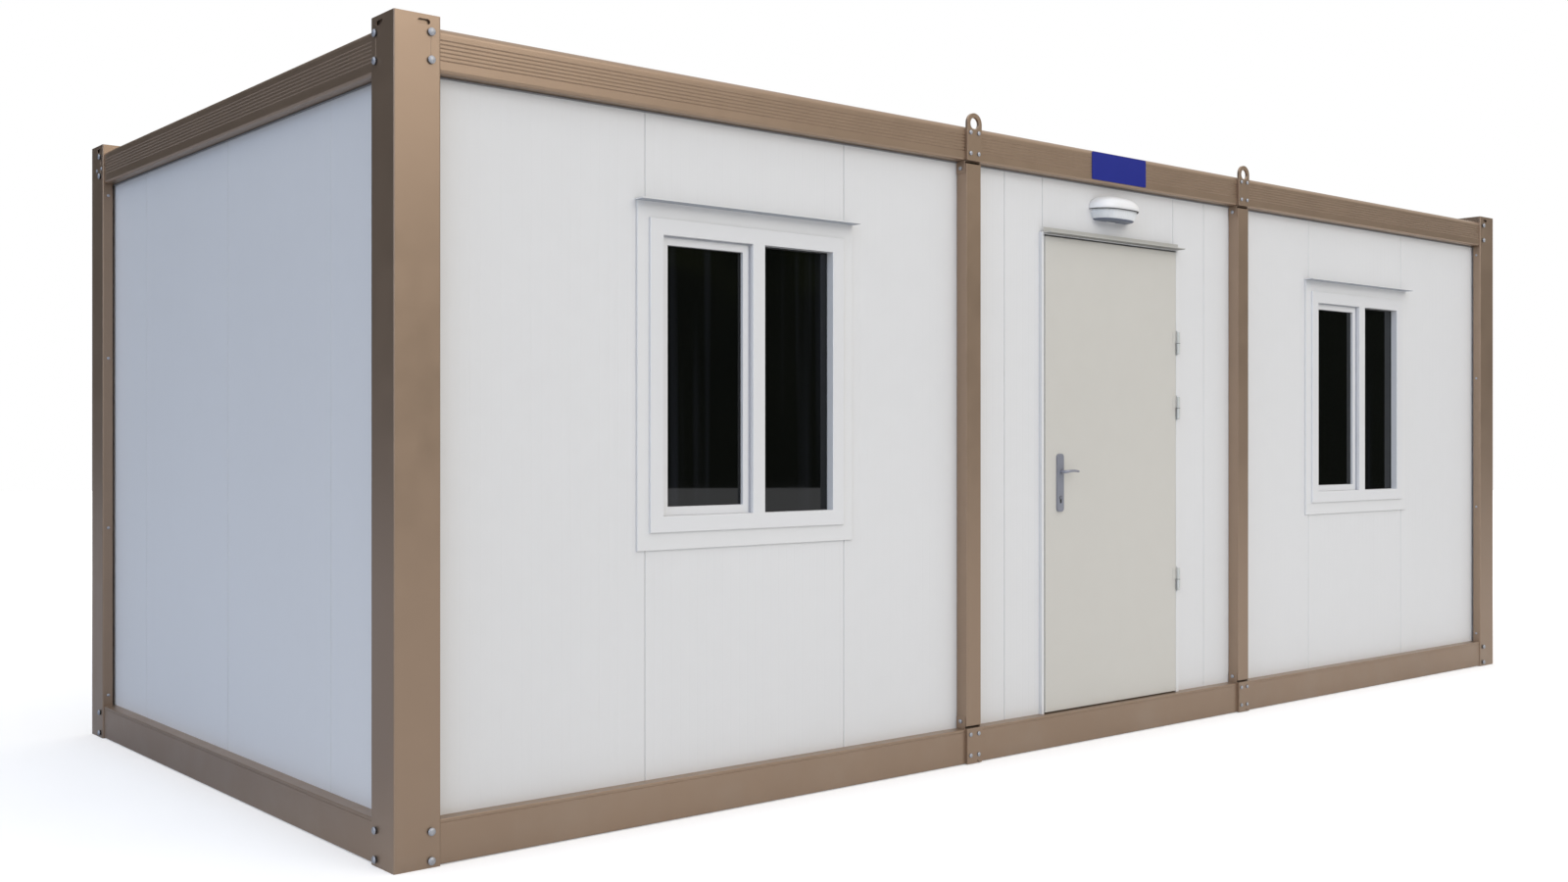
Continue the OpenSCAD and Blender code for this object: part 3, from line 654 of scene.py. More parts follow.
def top_rail_section():
    """Top rail's section as (inset, z): a small lower bend, V flutes, a wide crown and a flat back."""
    crown, lower, front = 0.022, 0.011, RAIL_STEP
    drop, pitch, depth, half = 0.038, 0.0125, 0.0019, 0.0024
    count, steps = 6, 7
    level = RAIL_HIGH[2] - drop - pitch * np.arange(count)[::-1, None]
    across = np.linspace(-1, 1, steps)
    flutes = np.stack(np.broadcast_arrays(front + depth * np.cos(across * math.pi / 2) ** 1.5,
                                          level + across * half), -1).reshape(-1, 2)
    return np.concatenate((
        arc(front + lower, RAIL_LOW[2] + lower, lower, 270, 180, 8), flutes,
        arc(front + crown, RAIL_HIGH[2] - crown, crown, 180, 90, 12),
        ((POST_W, RAIL_HIGH[2]), (POST_W, RAIL_LOW[2]))))


def base_rail_section():
    """Base rail's section as (inset, z): bent below, with a folded hem under its ledge."""
    front, bend, hem, groove = RAIL_STEP, 0.005, 0.002, 0.0012
    top = BASE_HIGH[2]
    fold = np.stack((front + groove * np.array((0, 1, 1, 0)),
                     top - np.array((0.0125, 0.0115, 0.0105, 0.0095))), -1)
    return np.concatenate((
        arc(front + bend, BASE_LOW[2] + bend, bend, 270, 180, 6), fold,
        arc(front + hem, top - hem, hem, 180, 90, 4), ((POST_W, top), (POST_W, BASE_LOW[2]))))


class CABIN_OT_steel_frame(bpy.types.Operator):
    """Rails, posts, plates and shoes of the painted steel frame"""

    bl_idname = "cabin.steel_frame"
    bl_label = "Steel frame"

    def execute(self, context):
        for kind, section in (("top", top_rail_section()), ("base", base_rail_section())):
            for side in SIDES:
                reach = LENGTHS[side] - POST_W
                part = prism(section, side, -reach, reach, "u")
                piece(f"{kind}_rail_skin_{side}", [part], "cabin", "frame_paint", "frame_paint",
                      (f"{kind}_rail_{side}",), 38.0)
        for corner in ("front_left", "front_right", "rear_left", "rear_right"):
            self.soften(f"corner_post_{corner}", f"post_skin_{corner}", 0.0008)
        for side in ("front", "rear"):
            self.soften(f"mid_posts_{side}", f"mid_post_skins_{side}", 0.0022)
        piece("rail_seals", self.rail_seals(), "cabin", "seal_foam")
        piece("slot_backs", self.slot_backs(), "cabin", "frame_paint", "frame_paint")
        self.soften("lifting_plates", "lifting_plate_skins", 0.0012)
        self.soften("base_plates", "base_plate_skins", 0.0012)
        self.soften("post_shoes", "shoe_skins", 0.0007)
        return {"FINISHED"}

    @staticmethod
    def soften(node, name, width):
        """Stands a copy with rounded edges, in the frame's paint, for a node."""
        softened(node, name, "cabin", "frame_paint", "frame_paint", width)

    @staticmethod
    def rail_seals():
        """Dark strips under the top rails, painted shadow below each rail, parted at the middle posts."""
        strip = rounded(PANEL_IN - 0.006, PANEL_IN, WALL_TOP - 0.007, WALL_TOP, 0.0025, 3)
        post_half = 0.0455
        strips = []
        for side in SIDES:
            stops = [-(LENGTHS[side] - POST_W), LENGTHS[side] - POST_W]
            if side in ("front", "rear"):
                stops[1:1] = [middle + end * post_half
                              for middle in (-MID_POST_X, MID_POST_X) for end in (-1, 1)]
            strips += [prism(strip, side, low, high, "u") for low, high in zip(stops[::2], stops[1::2])]
        return strips

    @staticmethod
    def slot_backs():
        """Plates behind the slots in the posts' heads."""
        half_u, half_z, soft, thick, inset, from_end = 0.034, 0.019, 0.006, 0.002, 0.0095, 0.100
        shape = rounded(-half_u, half_u, -half_z, half_z, soft)
        backs = []
        for side in SIDES:
            for end in (-1, 1):
                def behind(x, y, height, side=side, middle=end * (LENGTHS[side] - from_end)):
                    return on_side(side, middle + x, inset + height, SLOT_Z + y)
                backs.append(cushioned(shape, behind, ((0.0, 0.0), (0.0, thick))))
        return backs


# ---------------------------------------------------------------- bolts and screws


def dome(radius, stand, rise):
    """Profile of a flanged dome head that stands off its face, as (radius, height)."""
    t = np.linspace(0, math.pi / 2, 7)
    cap = np.stack((radius * 0.9 * np.cos(t), stand + rise * 0.3 + rise * 0.7 * np.sin(t)), -1)
    return np.concatenate((((0.0, stand), (radius * 0.94, stand), (radius, stand + rise * 0.08),
                            (radius, stand + rise * 0.22), (radius * 0.94, stand + rise * 0.3)), cap))


def stub(radius, height):
    """Profile of a short round spacer with a rounded rim, as (radius, height)."""
    sink = -0.0005
    return ((0.0, sink), (radius, sink), (radius, height * 0.85), (radius * 0.96, height), (0.0, height))


def outward(side):
    """Direction out of a side."""
    inward = SIDES[side][1]
    return (-inward[0], -inward[1], 0.0)


def bolted(radius, stand, rise, under, centres, axis, segments):
    """Dome heads at their stand off the face, and the round seats under them, each with its own segments."""
    return (turned(dome(radius, stand, rise), centres, axis, segments[0]),
            turned(stub(under, stand), centres, axis, segments[1]))


class CABIN_OT_bolts(bpy.types.Operator):
    """Bolts of the posts, plates and shoes, with their seats"""

    bl_idname = "cabin.bolts"
    bl_label = "Bolts and screws"

    def execute(self, context):
        sizes = context.scene.cabin_sizes
        self.heads_and_seats("post", self.post_bolts(sizes.bolt_radius))
        piece("post_screws", self.screws(sizes.screw_radius), "cabin", "bolt_zinc", "galvanised", sharp=50.0)
        self.heads_and_seats("plate", self.plate_bolts(sizes.plate_bolt_radius))
        piece("post_seams", self.seams(), "cabin", "frame_paint", "frame_paint")
        return {"FINISHED"}

    @staticmethod
    def heads_and_seats(name, pairs):
        """All of the heads as one piece, and the seats under them as another."""
        heads, seats = zip(*pairs)
        piece(name + "_bolts", heads, "cabin", "bolt_zinc", "galvanised", sharp=50.0)
        piece(name + "_bolt_seats", seats, "cabin", "seal_rubber", sharp=50.0)

    @staticmethod
    def post_bolts(radius):
        """Two bolts near the foot and two near the head of each post, on both of its outer faces."""
        levels = np.array((0.022, 0.112, 2.487, 2.573))
        stand, rise, under = 0.0055, 0.0062, radius * 0.88
        for side, length in LENGTHS.items():
            line = length - POST_W + BOLT_BACK
            ends, z = np.meshgrid((-line, line), levels, indexing="ij")
            centres = on_side(side, ends.ravel(), 0.0, z.ravel())
            # The heads stand off on near-black rubber seats, whose black is also painted shade of the hole
            # beside each head.
            yield bolted(radius, stand, rise, under, centres, outward(side), (24, 20))

    @staticmethod
    def plate_bolts(radius):
        """Four bolts on each plate of the middle posts, and one on each cheek of their shoes."""
        spread = 0.0235
        rows = (RAIL_LOW[2] + 0.030, RAIL_LOW[2] + 0.115, BASE_LOW[2] + 0.034, BASE_LOW[2] + 0.119)
        shoe_radius, shoe_under, shoe_in = 0.0085, 0.0083, 0.030
        rise, wide = 0.0045, SHOE_END - MID_POST_X
        for side in ("front", "rear"):
            posts, shift, z = np.meshgrid((-MID_POST_X, MID_POST_X), (-spread, spread), rows, indexing="ij")
            centres = on_side(side, (posts + shift).ravel(), PLATE_FACE, z.ravel())
            yield bolted(radius, 0.002, rise, radius * 0.95, centres, outward(side), (20, 18))
            for post in (-MID_POST_X, MID_POST_X):
                for end in (-1, 1):
                    levels = np.array((FLOOR + shoe_in, WALL_TOP - shoe_in))
                    centres = on_side(side, post + end * wide, shoe_in, levels)
                    axis = (end * SIDES[side][0][0], end * SIDES[side][0][1], 0.0)
                    yield bolted(shoe_radius, 0.0015, rise, shoe_under, centres, axis, (18, 16))

    @staticmethod
    def screws(radius):
        """Small screws down the posts' returns, and a pair near the head of each rear post."""
        levels, return_in = np.array((0.19, 0.93, 1.68, 2.40)), 0.024
        heads = []
        for side, (along, _, _) in SIDES.items():
            for end in (-1, 1):
                centres = on_side(side, end * (LENGTHS[side] - POST_W), return_in, levels)
                axis = (-end * along[0], -end * along[1], 0.0)
                heads.append(turned(dome(radius, 0.0012, 0.0038), centres, axis, 16))
        shifts, levels = np.array((0.045, -0.018)), np.array((2.515, 2.518))
        for side, end in (("left", -1), ("right", 1)):
            centres = on_side(side, end * (HALF_Y - POST_W + BOLT_BACK) + end * shifts, 0.0, levels)
            heads.append(turned(dome(radius * 1.3, 0.001, 0.0040), centres, outward(side), 16))
        return heads

    @staticmethod
    def seams():
        """Folded seams between the two upper bolts of each post: thin, flattened half-round beads."""
        radius, flat, low, high = 0.0011, 0.6, 2.500, 2.562
        return [prism(arc(end * (length - POST_W + BOLT_BACK), 0.0, radius, 180, 360, 6) * (1.0, flat),
                      side, low, high) for side, length in LENGTHS.items() for end in (-1, 1)]


# ---------------------------------------------------------------- windows


def frame_profile(width, front, back, radius):
    """Closed profile of a window's frame: rounded front edges and a flat back."""
    return np.concatenate((
        ((0.0, back),), arc(radius, front + radius, radius, 180, 270, 4),
        arc(width - radius, front + radius, radius, 270, 360, 4), ((width, back),)))


class CABIN_OT_windows(bpy.types.Operator):
    """Plastic frames, sliding sashes, glass, gaskets and flat trim"""

    bl_idname = "cabin.windows"
    bl_label = "Windows"

    def execute(self, context):
        face, sash_face, fixed, soft = 0.057, 0.031, 0.332, 0.0025
        sash_in, sash_back = SASH_LOW[1] + HALF_Y, SASH_HIGH[1] + HALF_Y
        glass_in = box("window_panes")[0][1] + HALF_Y
        lip = rounded(-0.001, 0.0025, glass_in - 0.0025, glass_in + 0.001, 0.0008, 2)
        sashes, trims, gaskets, grips, shadow_strips, brushes = ([] for _ in range(6))
        for name in ("left", "right"):
            node = "window_frame_" + name
            low, high = box(node)
            front, back = low[1] + HALF_Y, high[1] + HALF_Y
            half, middle = (high[0] - low[0]) / 2, (low[0] + high[0]) / 2
            u0, u1, z0, z1 = low[0] + face, high[0] - face, low[2] + face, high[2] - face
            bar0, bar1 = u1 - fixed - face, u1 - fixed
            ring = mitred(frame_profile(face, front, back, soft), "front", middle, half, low[2], high[2])
            mullion = prism(rounded(bar0, bar1, front, back, soft), "front", z0 - 0.002, z1 + 0.002)
            piece("window_profile_" + name, [ring, mullion], "cabin", "window_plastic", "window_plastic",
                  (node,), 30.0)
            sash_middle, sash_half = (u0 + bar0) / 2, (bar0 - u0) / 2
            sashes.append(mitred(frame_profile(sash_face, sash_in, sash_back, 0.002), "front", sash_middle,
                                 sash_half, z0, z1))
            grips.append(self.grip(sash_middle + sash_half, sash_back, (z0 + z1) / 2))
            brushes += self.brushes(u0, bar0, z0, z1, sash_in)
            gaskets.append(mitred(lip, "front", sash_middle, sash_half - sash_face, z0 + sash_face,
                                  z1 - sash_face))
            gaskets.append(mitred(lip, "front", (bar1 + u1) / 2, fixed / 2, z0, z1))
            trim, shadow_strip = self.trim(middle, half, low[2], high[2])
            trims += trim
            shadow_strips.append(shadow_strip)
        piece("sash_profiles", sashes, "cabin", "window_plastic", "window_plastic", ("window_sashes",), 30.0)
        piece("sash_grips", grips, "cabin", "window_plastic", "window_plastic")
        piece("trim_frames", trims, "cabin", "trim_paint", "trim_paint", ("window_trims",), 30.0)
        piece("sash_brushes", brushes, "cabin", "sash_brush")
        piece("pane_gaskets", gaskets, "cabin", "seal_rubber")
        piece("trim_cap_tapes", shadow_strips, "cabin", "cap_strip")
        paint_node("window_panes", "window_glass")
        return {"FINISHED"}

    @staticmethod
    def grip(edge, back, level):
        """Upright grip on the inner face of a sash, near its edge."""
        start, end, sink, proud, half = 0.021, 0.012, 0.001, 0.014, 0.055
        outline = rounded(edge - start, edge - end, back - sink, back + proud, 0.003)
        return prism(outline, "front", level - half, level + half)

    @staticmethod
    def brushes(u0, u1, z0, z1, sash_in):
        """Brush strips before a sash, along its head and up both of its sides; their grey is also a painted
        shade line round the sash.
        """
        proud, lap, wide = 0.006, 0.001, 0.005
        head = rounded(sash_in - proud, sash_in + lap, z1 - wide, z1 + lap, lap, 2)
        strips = [prism(head, "front", u0 + 0.0045, u1 - 0.0045, "u")]
        for edge, turn in ((u0, 1), (u1, -1)):
            start, end = sorted((edge - turn * lap, edge + turn * wide))
            strips.append(prism(rounded(start, end, sash_in - proud, sash_in + lap, lap, 2), "front", z0, z1))
        return strips

    @staticmethod
    def trim(middle, half, low, high):
        """Flat trim round a window, outside and inside, its drip cap, and a grey-blue strip under the cap,
        painted shade of its underside.
        """
        side, top, edge, thick, lap = 0.049, 0.061, 0.0009, 0.008, 0.002
        cap_front, cap_top = TRIM_LOW[1] + HALF_Y, TRIM_HIGH[2]
        cap_half = half + side + 0.006
        parts = []
        for seat, out in ((PANEL_IN, PANEL_IN - thick), (CORE, CORE + thick)):
            step = math.copysign(edge, seat - out)
            ring = ((0.0, seat), (0.0, out + step), (edge, out), (side, out), (side, seat))
            parts.append(mitred(ring, "front", middle, half + side, low - top, high + top, top / side))
        cap = rounded(cap_front, PANEL_IN, cap_top - 0.004, cap_top, edge, 2)
        parts.append(prism(cap, "front", middle - cap_half, middle + cap_half, "u"))
        # A grey-blue strip under the cap: painted shade of its underside.
        shadow_strip = rounded(cap_front + lap, PANEL_IN - 0.006, cap_top - 0.0055, cap_top - 0.0038, 0.0005, 2)
        return parts, prism(shadow_strip, "front", middle - cap_half + lap, middle + cap_half - lap, "u")


# ---------------------------------------------------------------- door


class CABIN_OT_door(bpy.types.Operator):
    """Door leaf, its frame, seals, lock and drip cap"""

    bl_idname = "cabin.door"
    bl_label = "Door"

    def execute(self, context):
        def on_leaf(x, y, height):
            return on_side("front", x, LEAF_IN + height, y)
        outline = rounded(LEAF_LOW[0], LEAF_HIGH[0], LEAF_LOW[2], LEAF_HIGH[2], 0.0012, 3)
        bend = arc(0.0015, 0.0015, 0.0015, 270, 180, 4)
        thick = LEAF_BACK - LEAF_IN
        steps = np.concatenate((bend, bend[::-1] * (1, -1) + (0, thick)))
        piece("leaf_skin", [cushioned(outline, on_leaf, steps)], "door", "door_paint", "door_paint",
              ("door_leaf",))
        self.frame()
        # The drip cap is a beige grey darkened as painted shade.
        softened("door_drip_cap", "door_cap_skin", "cabin", "cap_paint", "trim_paint", 0.0007)
        # A dark strip under the cap: painted shade of its underside.
        low, high = box("door_drip_cap")
        shadow_strip = rounded(low[1] + HALF_Y + 0.002, high[1] + HALF_Y - 0.001, low[2] - 0.0015, low[2] + 0.0002,
                       0.0005, 2)
        piece("door_cap_tape", [prism(shadow_strip, "front", low[0] + 0.002, high[0] - 0.002, "u")], "cabin",
              "door_strip")
        half = LEAF_HIGH[0] + LEAF_GAP
        stop_front = LEAF_BACK + STOP_GAP
        bulb = rounded(0.004, 0.0095, stop_front - 0.004, stop_front + 0.0005, 0.0016, 3)
        piece("door_seal", [mitred(bulb, "front", 0.0, half, FLOOR, LEAF_HIGH[2] + LEAF_GAP)], "cabin",
              "seal_rubber")
        self.lock(half)
        return {"FINISHED"}

    @staticmethod
    def lock(half):
        """Lock's face with its latch and dead bolt in the leaf's edge, and their strike plate in the jamb."""
        edge, depth, level = LEAF_LOW[0], (LEAF_IN + LEAF_BACK) / 2, LEVER_Z - 0.05

        def on_edge(x, y, height):
            return on_side("front", edge - height, depth + x, level + y)

        def on_jamb(x, y, height):
            return on_side("front", -half + height, depth + x, level + y)
        plate = rounded(-0.010, 0.010, -0.12, 0.12, 0.004)
        latch = rounded(-0.0055, 0.0055, 0.035, 0.060, 0.002)
        dead = rounded(-0.0045, 0.0045, -0.060, -0.030, 0.0015)
        face = [cushioned(plate, on_edge, ((0.0, -0.001), (0.0, 0.0006), (0.0005, 0.0010))),
                cushioned(latch, on_edge, ((0.0, 0.0), (0.0, 0.0035), (0.0015, 0.0050))),
                cushioned(dead, on_edge, ((0.0, 0.0), (0.0, 0.0014), (0.0004, 0.0018)))]
        screws = on_side("front", edge - 0.0010, depth, level + np.array((-0.105, 0.105)))
        face.append(turned(((0.0, 0.0), (0.0038, 0.0), (0.0036, 0.0005), (0.0, 0.0007)), screws,
                           (-1.0, 0.0, 0.0), 14))
        piece("lock_face", face, "door", "handle_metal", "handle_metal")
        strike = [cushioned(plate, on_jamb, ((0.0, -0.001), (0.0, 0.0006), (0.0005, 0.0009)))]
        piece("strike_plate", strike, "cabin", "handle_metal", "handle_metal")
        pockets = [cushioned(hole, on_jamb, ((0.0, 0.0005), (0.0, 0.0011))) for hole in (latch, dead)]
        piece("strike_pockets", pockets, "cabin", "seal_rubber")

    @staticmethod
    def frame():
        """Jambs, head, threshold and stops: rounded bars. A narrow nose stands out to the leaf's face, up to
        the drip cap; behind it a flange fills the wall's opening level with the panels."""
        back, outer, top = DOOR_FRAME_HIGH[1] + HALF_Y, DOOR_FRAME_HIGH[0], DOOR_FRAME_HIGH[2]
        half, head = LEAF_HIGH[0] + LEAF_GAP, LEAF_HIGH[2] + LEAF_GAP
        face_top, soft, lap = head + 0.010, 0.0012, 0.0005
        stop_wide, stop_thick, stop_in = 0.018, 0.014, LEAF_BACK + STOP_GAP
        nose = 0.015
        bars = []
        for end in (-1, 1):
            u0, u1 = sorted((end * half, end * (half + nose)))
            bars.append(prism(rounded(u0, u1, LEAF_IN, back, soft), "front", FLOOR, face_top))
            u0, u1 = sorted((end * (half + nose - lap), end * outer))
            bars.append(prism(rounded(u0, u1, PANEL_IN, back, 0.0004), "front", FLOOR, top))
            u0, u1 = sorted((end * (half - stop_wide), end * (half + lap)))
            bars.append(prism(rounded(u0, u1, stop_in, stop_in + stop_thick, soft), "front", FLOOR, head))
        for inset0, inset1, low, high, reach in (
                (LEAF_IN, back, head, face_top, half + lap),
                (PANEL_IN, back, face_top - lap, top, half + nose),
                (stop_in, stop_in + stop_thick, head - stop_wide, head + lap, half),
                (stop_in, stop_in + stop_thick, FLOOR, FLOOR + stop_wide, half)):
            bars.append(prism(rounded(inset0, inset1, low, high, soft), "front", -reach, reach, "u"))
        piece("door_frame_skin", bars, "cabin", "trim_paint", "trim_paint", ("door_frame",), 30.0)
        lip, clear = rounded(half - 0.0052, half + lap, LEAF_IN + 0.0006, LEAF_IN + 0.006, 0.001, 3), 0.056
        stops = [FLOOR, *np.ravel([(z - clear, z + clear) for z in HINGE_LEVELS]), head]
        lips = [prism(lip, "front", low, high) for low, high in zip(stops[::2], stops[1::2])]
        piece("door_hinge_lip", lips, "cabin", "trim_paint")


class CABIN_OT_hinges(bpy.types.Operator):
    """Barrel hinges with their flaps and rings"""

    bl_idname = "cabin.hinges"
    bl_label = "Hinges"

    def execute(self, context):
        half, radius, soft, gap = 0.052, 0.008, 0.0015, 0.0006
        thick, wide, screw_in = 0.0018, 0.024, 0.015
        inset = HINGE_Y + HALF_Y
        leaf_edge, frame_edge = LEAF_HIGH[0], LEAF_HIGH[0] + LEAF_GAP
        axis = np.array([(HINGE_X, HINGE_Y, z) for z in HINGE_LEVELS])
        t = np.linspace(0, math.pi / 2, 5)
        rim = np.stack((radius - soft + soft * np.sin(t), half - soft * (1 - np.cos(t))), -1)[::-1]
        screw = ((0.0, 0.0), (0.0034, 0.0), (0.0031, 0.0004), (0.0, 0.0006))
        barrels, flaps, screws = {}, {}, {}
        for end, start, near in ((-1, 0.0, frame_edge), (1, gap, leaf_edge)):
            profile = np.concatenate((((0.0, start), (radius, start)), rim, ((0.0, half),)))
            barrels[end] = turned(profile * (1, end), axis, (0, 0, 1), 32)
            flaps[end], screws[end] = [], []
            for z in HINGE_LEVELS:
                low, high = sorted((z + start, z + end * half))
                flaps[end] += [bar((near, near - end * wide), (LEAF_IN - thick, LEAF_IN), low, high),
                               bar((near, near - end * thick), (inset, LEAF_IN), low, high),
                               bar((near, HINGE_X), (inset, inset + radius - 0.001), low, high)]
                levels = z + end * np.array((0.014, 0.040))
                at = on_side("front", near - end * screw_in, LEAF_IN - thick, levels)
                screws[end].append(turned(screw, at, (0, -1, 0), 14))
        ring = ((radius - 0.001, -0.0014), (radius + gap, -0.0014), (radius + gap, 0.0003),
                (radius - 0.001, 0.0003))
        piece("hinge_barrels_upper", [barrels[1]], "door", "hinge_metal", "hinge_metal", ("hinge_knuckles",))
        piece("hinge_barrels_lower", [barrels[-1]], "cabin", "hinge_metal", "hinge_metal", ("hinge_pins",))
        piece("hinge_flaps_leaf", flaps[1], "door", "door_paint", "door_paint")
        piece("hinge_flaps_frame", flaps[-1], "cabin", "trim_paint", "trim_paint")
        piece("hinge_rings", [turned(ring, axis, (0, 0, 1), 32)], "cabin", "seal_rubber")
        for end, body, paint in ((1, "door", "door_paint"), (-1, "cabin", "trim_paint")):
            piece(f"hinge_screws_{body}", screws[end], body, paint, paint)
        return {"FINISHED"}


def lever_path():
    """Middle line of a lever as (u, out): straight out, a quarter bend, then a grip that leans back to the
    door by a square law. Returns it with the half width and half height of its section."""
    reach, bend, length = 0.040, 0.013, 0.095
    out = np.linspace(0.0005, reach - bend, 8)[:-1]
    straight = np.stack((np.zeros_like(out), out), -1)
    t = np.radians(np.linspace(180, 90, 9))
    corner = np.stack((bend + bend * np.cos(t), reach - bend + bend * np.sin(t)), -1)
    s = np.linspace(0, 1, 18)[1:]
    grip = np.stack((bend + (length - bend) * s, reach - 0.008 * s ** 2), -1)
    path = np.concatenate((straight, corner, grip))
    share = np.concatenate((np.zeros(7), np.linspace(0, 0.25, 9), 0.25 + 0.75 * s))
    half_width = 0.0080 - 0.0036 * share ** 0.8
    half_height = 0.0072 - 0.0026 * share
    tip = np.sqrt(np.clip(1 - np.clip((share - 0.93) / 0.0701, 0, 1) ** 2, 0.0, 1))
    return path, half_width * tip, half_height * tip


def lever(side_sign, face_in):
    """One lever: an ellipse carried along its middle line, with the line's normal and the height as axes. The
    height rises in half a sine wave along the lever."""
    path, half_width, half_height = lever_path()
    tangent = np.gradient(path, axis=0)
    tangent /= np.linalg.norm(tangent, axis=1)[:, None]
    normal = np.stack((-tangent[:, 1], tangent[:, 0]), -1)
    t = np.arange(28) * TURN / 28
    across = np.cos(t)[None] * half_width[:, None]
    u = path[:, 0, None] + normal[:, 0, None] * across
    out = path[:, 1, None] + normal[:, 1, None] * across
    rise = 0.004 * np.sin(np.clip(path[:, 0, None] / 0.095, 0, 1) * math.pi)
    z = rise + np.sin(t)[None] * half_height[:, None]
    grid = on_side("front", LEVER_X + u, face_in - side_sign * out, LEVER_Z + z)
    return surface(grid, wrap_columns=True, caps=True)


class CABIN_OT_handle(bpy.types.Operator):
    """Long plates and the lever on both faces of the leaf"""

    bl_idname = "cabin.handle"
    bl_label = "Handle"

    def execute(self, context):
        softened("handle_plates", "handle_plate_skins", "door", "handle_metal", "handle_metal", 0.0022)
        plate, key_drop = 0.008, 0.112
        body_r, foot_r, foot_drop = 0.0085, 0.005, 0.0195
        angle = math.degrees(math.asin(foot_r / body_r))
        outline = np.concatenate((arc(0.0, 0.0, body_r, 270 + angle, 630 - angle, 22),
                                  arc(0.0, -foot_drop, foot_r, 180, 360, 10)))
        collar = ((0.0092, -0.0002), (0.0125, -0.0002), (0.0125, 0.0012), (0.0115, 0.0022), (0.0092, 0.0024))
        plug = ((0.0, 0.0), (0.0064, 0.0), (0.0064, 0.0008), (0.0058, 0.0014), (0.0, 0.0014))
        grips = [lever(1, LEAF_IN), lever(-1, LEAF_BACK)]
        cylinder_shades, plugs, slots = [], [], []
        for sign, leaf_face in ((1, LEAF_IN), (-1, LEAF_BACK)):
            face = leaf_face - sign * plate
            on_plate = self.plate_places(sign, face, LEVER_Z - key_drop)
            out = (0, -sign, 0)
            grips.append(turned(collar, on_side("front", LEVER_X, face, LEVER_Z), out, 32))
            # Near-black outlines of the lock cylinders: painted shade of the keyholes.
            cylinder_shades.append(cushioned(outline, on_plate, ((0.0, -0.0004), (0.0, 0.0006), (0.0005, 0.0011))))
            plugs.append(turned(plug, on_plate(0.0, 0.0, 0.0009), out, 28))
            slots.append(cushioned(rounded(-0.0011, 0.0011, -0.0042, 0.0042, 0.001, 3), on_plate,
                                   ((0.0, 0.0020), (0.0, 0.0025))))
        piece("lever_grips", grips, "lever", "handle_metal", "handle_metal", ("lever_handle",), 40.0)
        piece("lock_cylinders", cylinder_shades, "door", "seal_rubber")
        piece("lock_plugs", plugs, "door", "handle_metal", "handle_metal")
        piece("lock_keyways", slots, "door", "seal_rubber")
        return {"FINISHED"}

    @staticmethod
    def plate_places(sign, face, level):
        """Function for places on a handle plate's face: across, up from a level, and out."""
        return lambda x, y, height: on_side("front", LEVER_X + x, face - sign * height, level + y)


# ---------------------------------------------------------------- lamp and sign plate


def lip_share(turn):
    """Share of the hood's full size where the cosine of a turn is the distance from its middle, in halves:
    (1 - |cosine| ** 3) ** (1 / 2.3)."""
    return (1 - np.abs(np.cos(turn)) ** 3.0).clip(0) ** (1 / 2.3)


def hood_shell(half, depth, tall):
    """Upper half of an oval shell, over its lip, as (across, out, up): the lip's share times the depth and
    the height, times the sine and the cosine of the sweep from its top ** 0.75."""
    turn = np.linspace(0, math.pi, 49)[None]
    sweep = np.linspace(0, math.pi / 2, 20)[:, None]
    size = lip_share(turn)
    x = half * np.cos(turn) * np.ones_like(sweep)
    return x, depth * size * np.sin(sweep) ** 0.75, tall * size * np.cos(sweep) ** 0.75


def bowl(half, depth, levels, ribs=0, ripple=0.0):
    """Half of a round-cornered bowl. Each level holds (share, height), and its outline is the share of
    half * cos(t) ** 0.75 across and depth * sin(t) ** 0.75 out. Ribs wave the outline along t."""
    share, height = np.array(levels).T[:, :, None]
    t = np.linspace(0, math.pi, 241)[None]
    wave = share * (1 + ripple * np.cos(2 * ribs * t))
    x = half * np.sign(np.cos(t)) * np.abs(np.cos(t)) ** 0.75 * wave
    return x, depth * np.sin(t).clip(0) ** 0.75 * wave, height + 0 * x


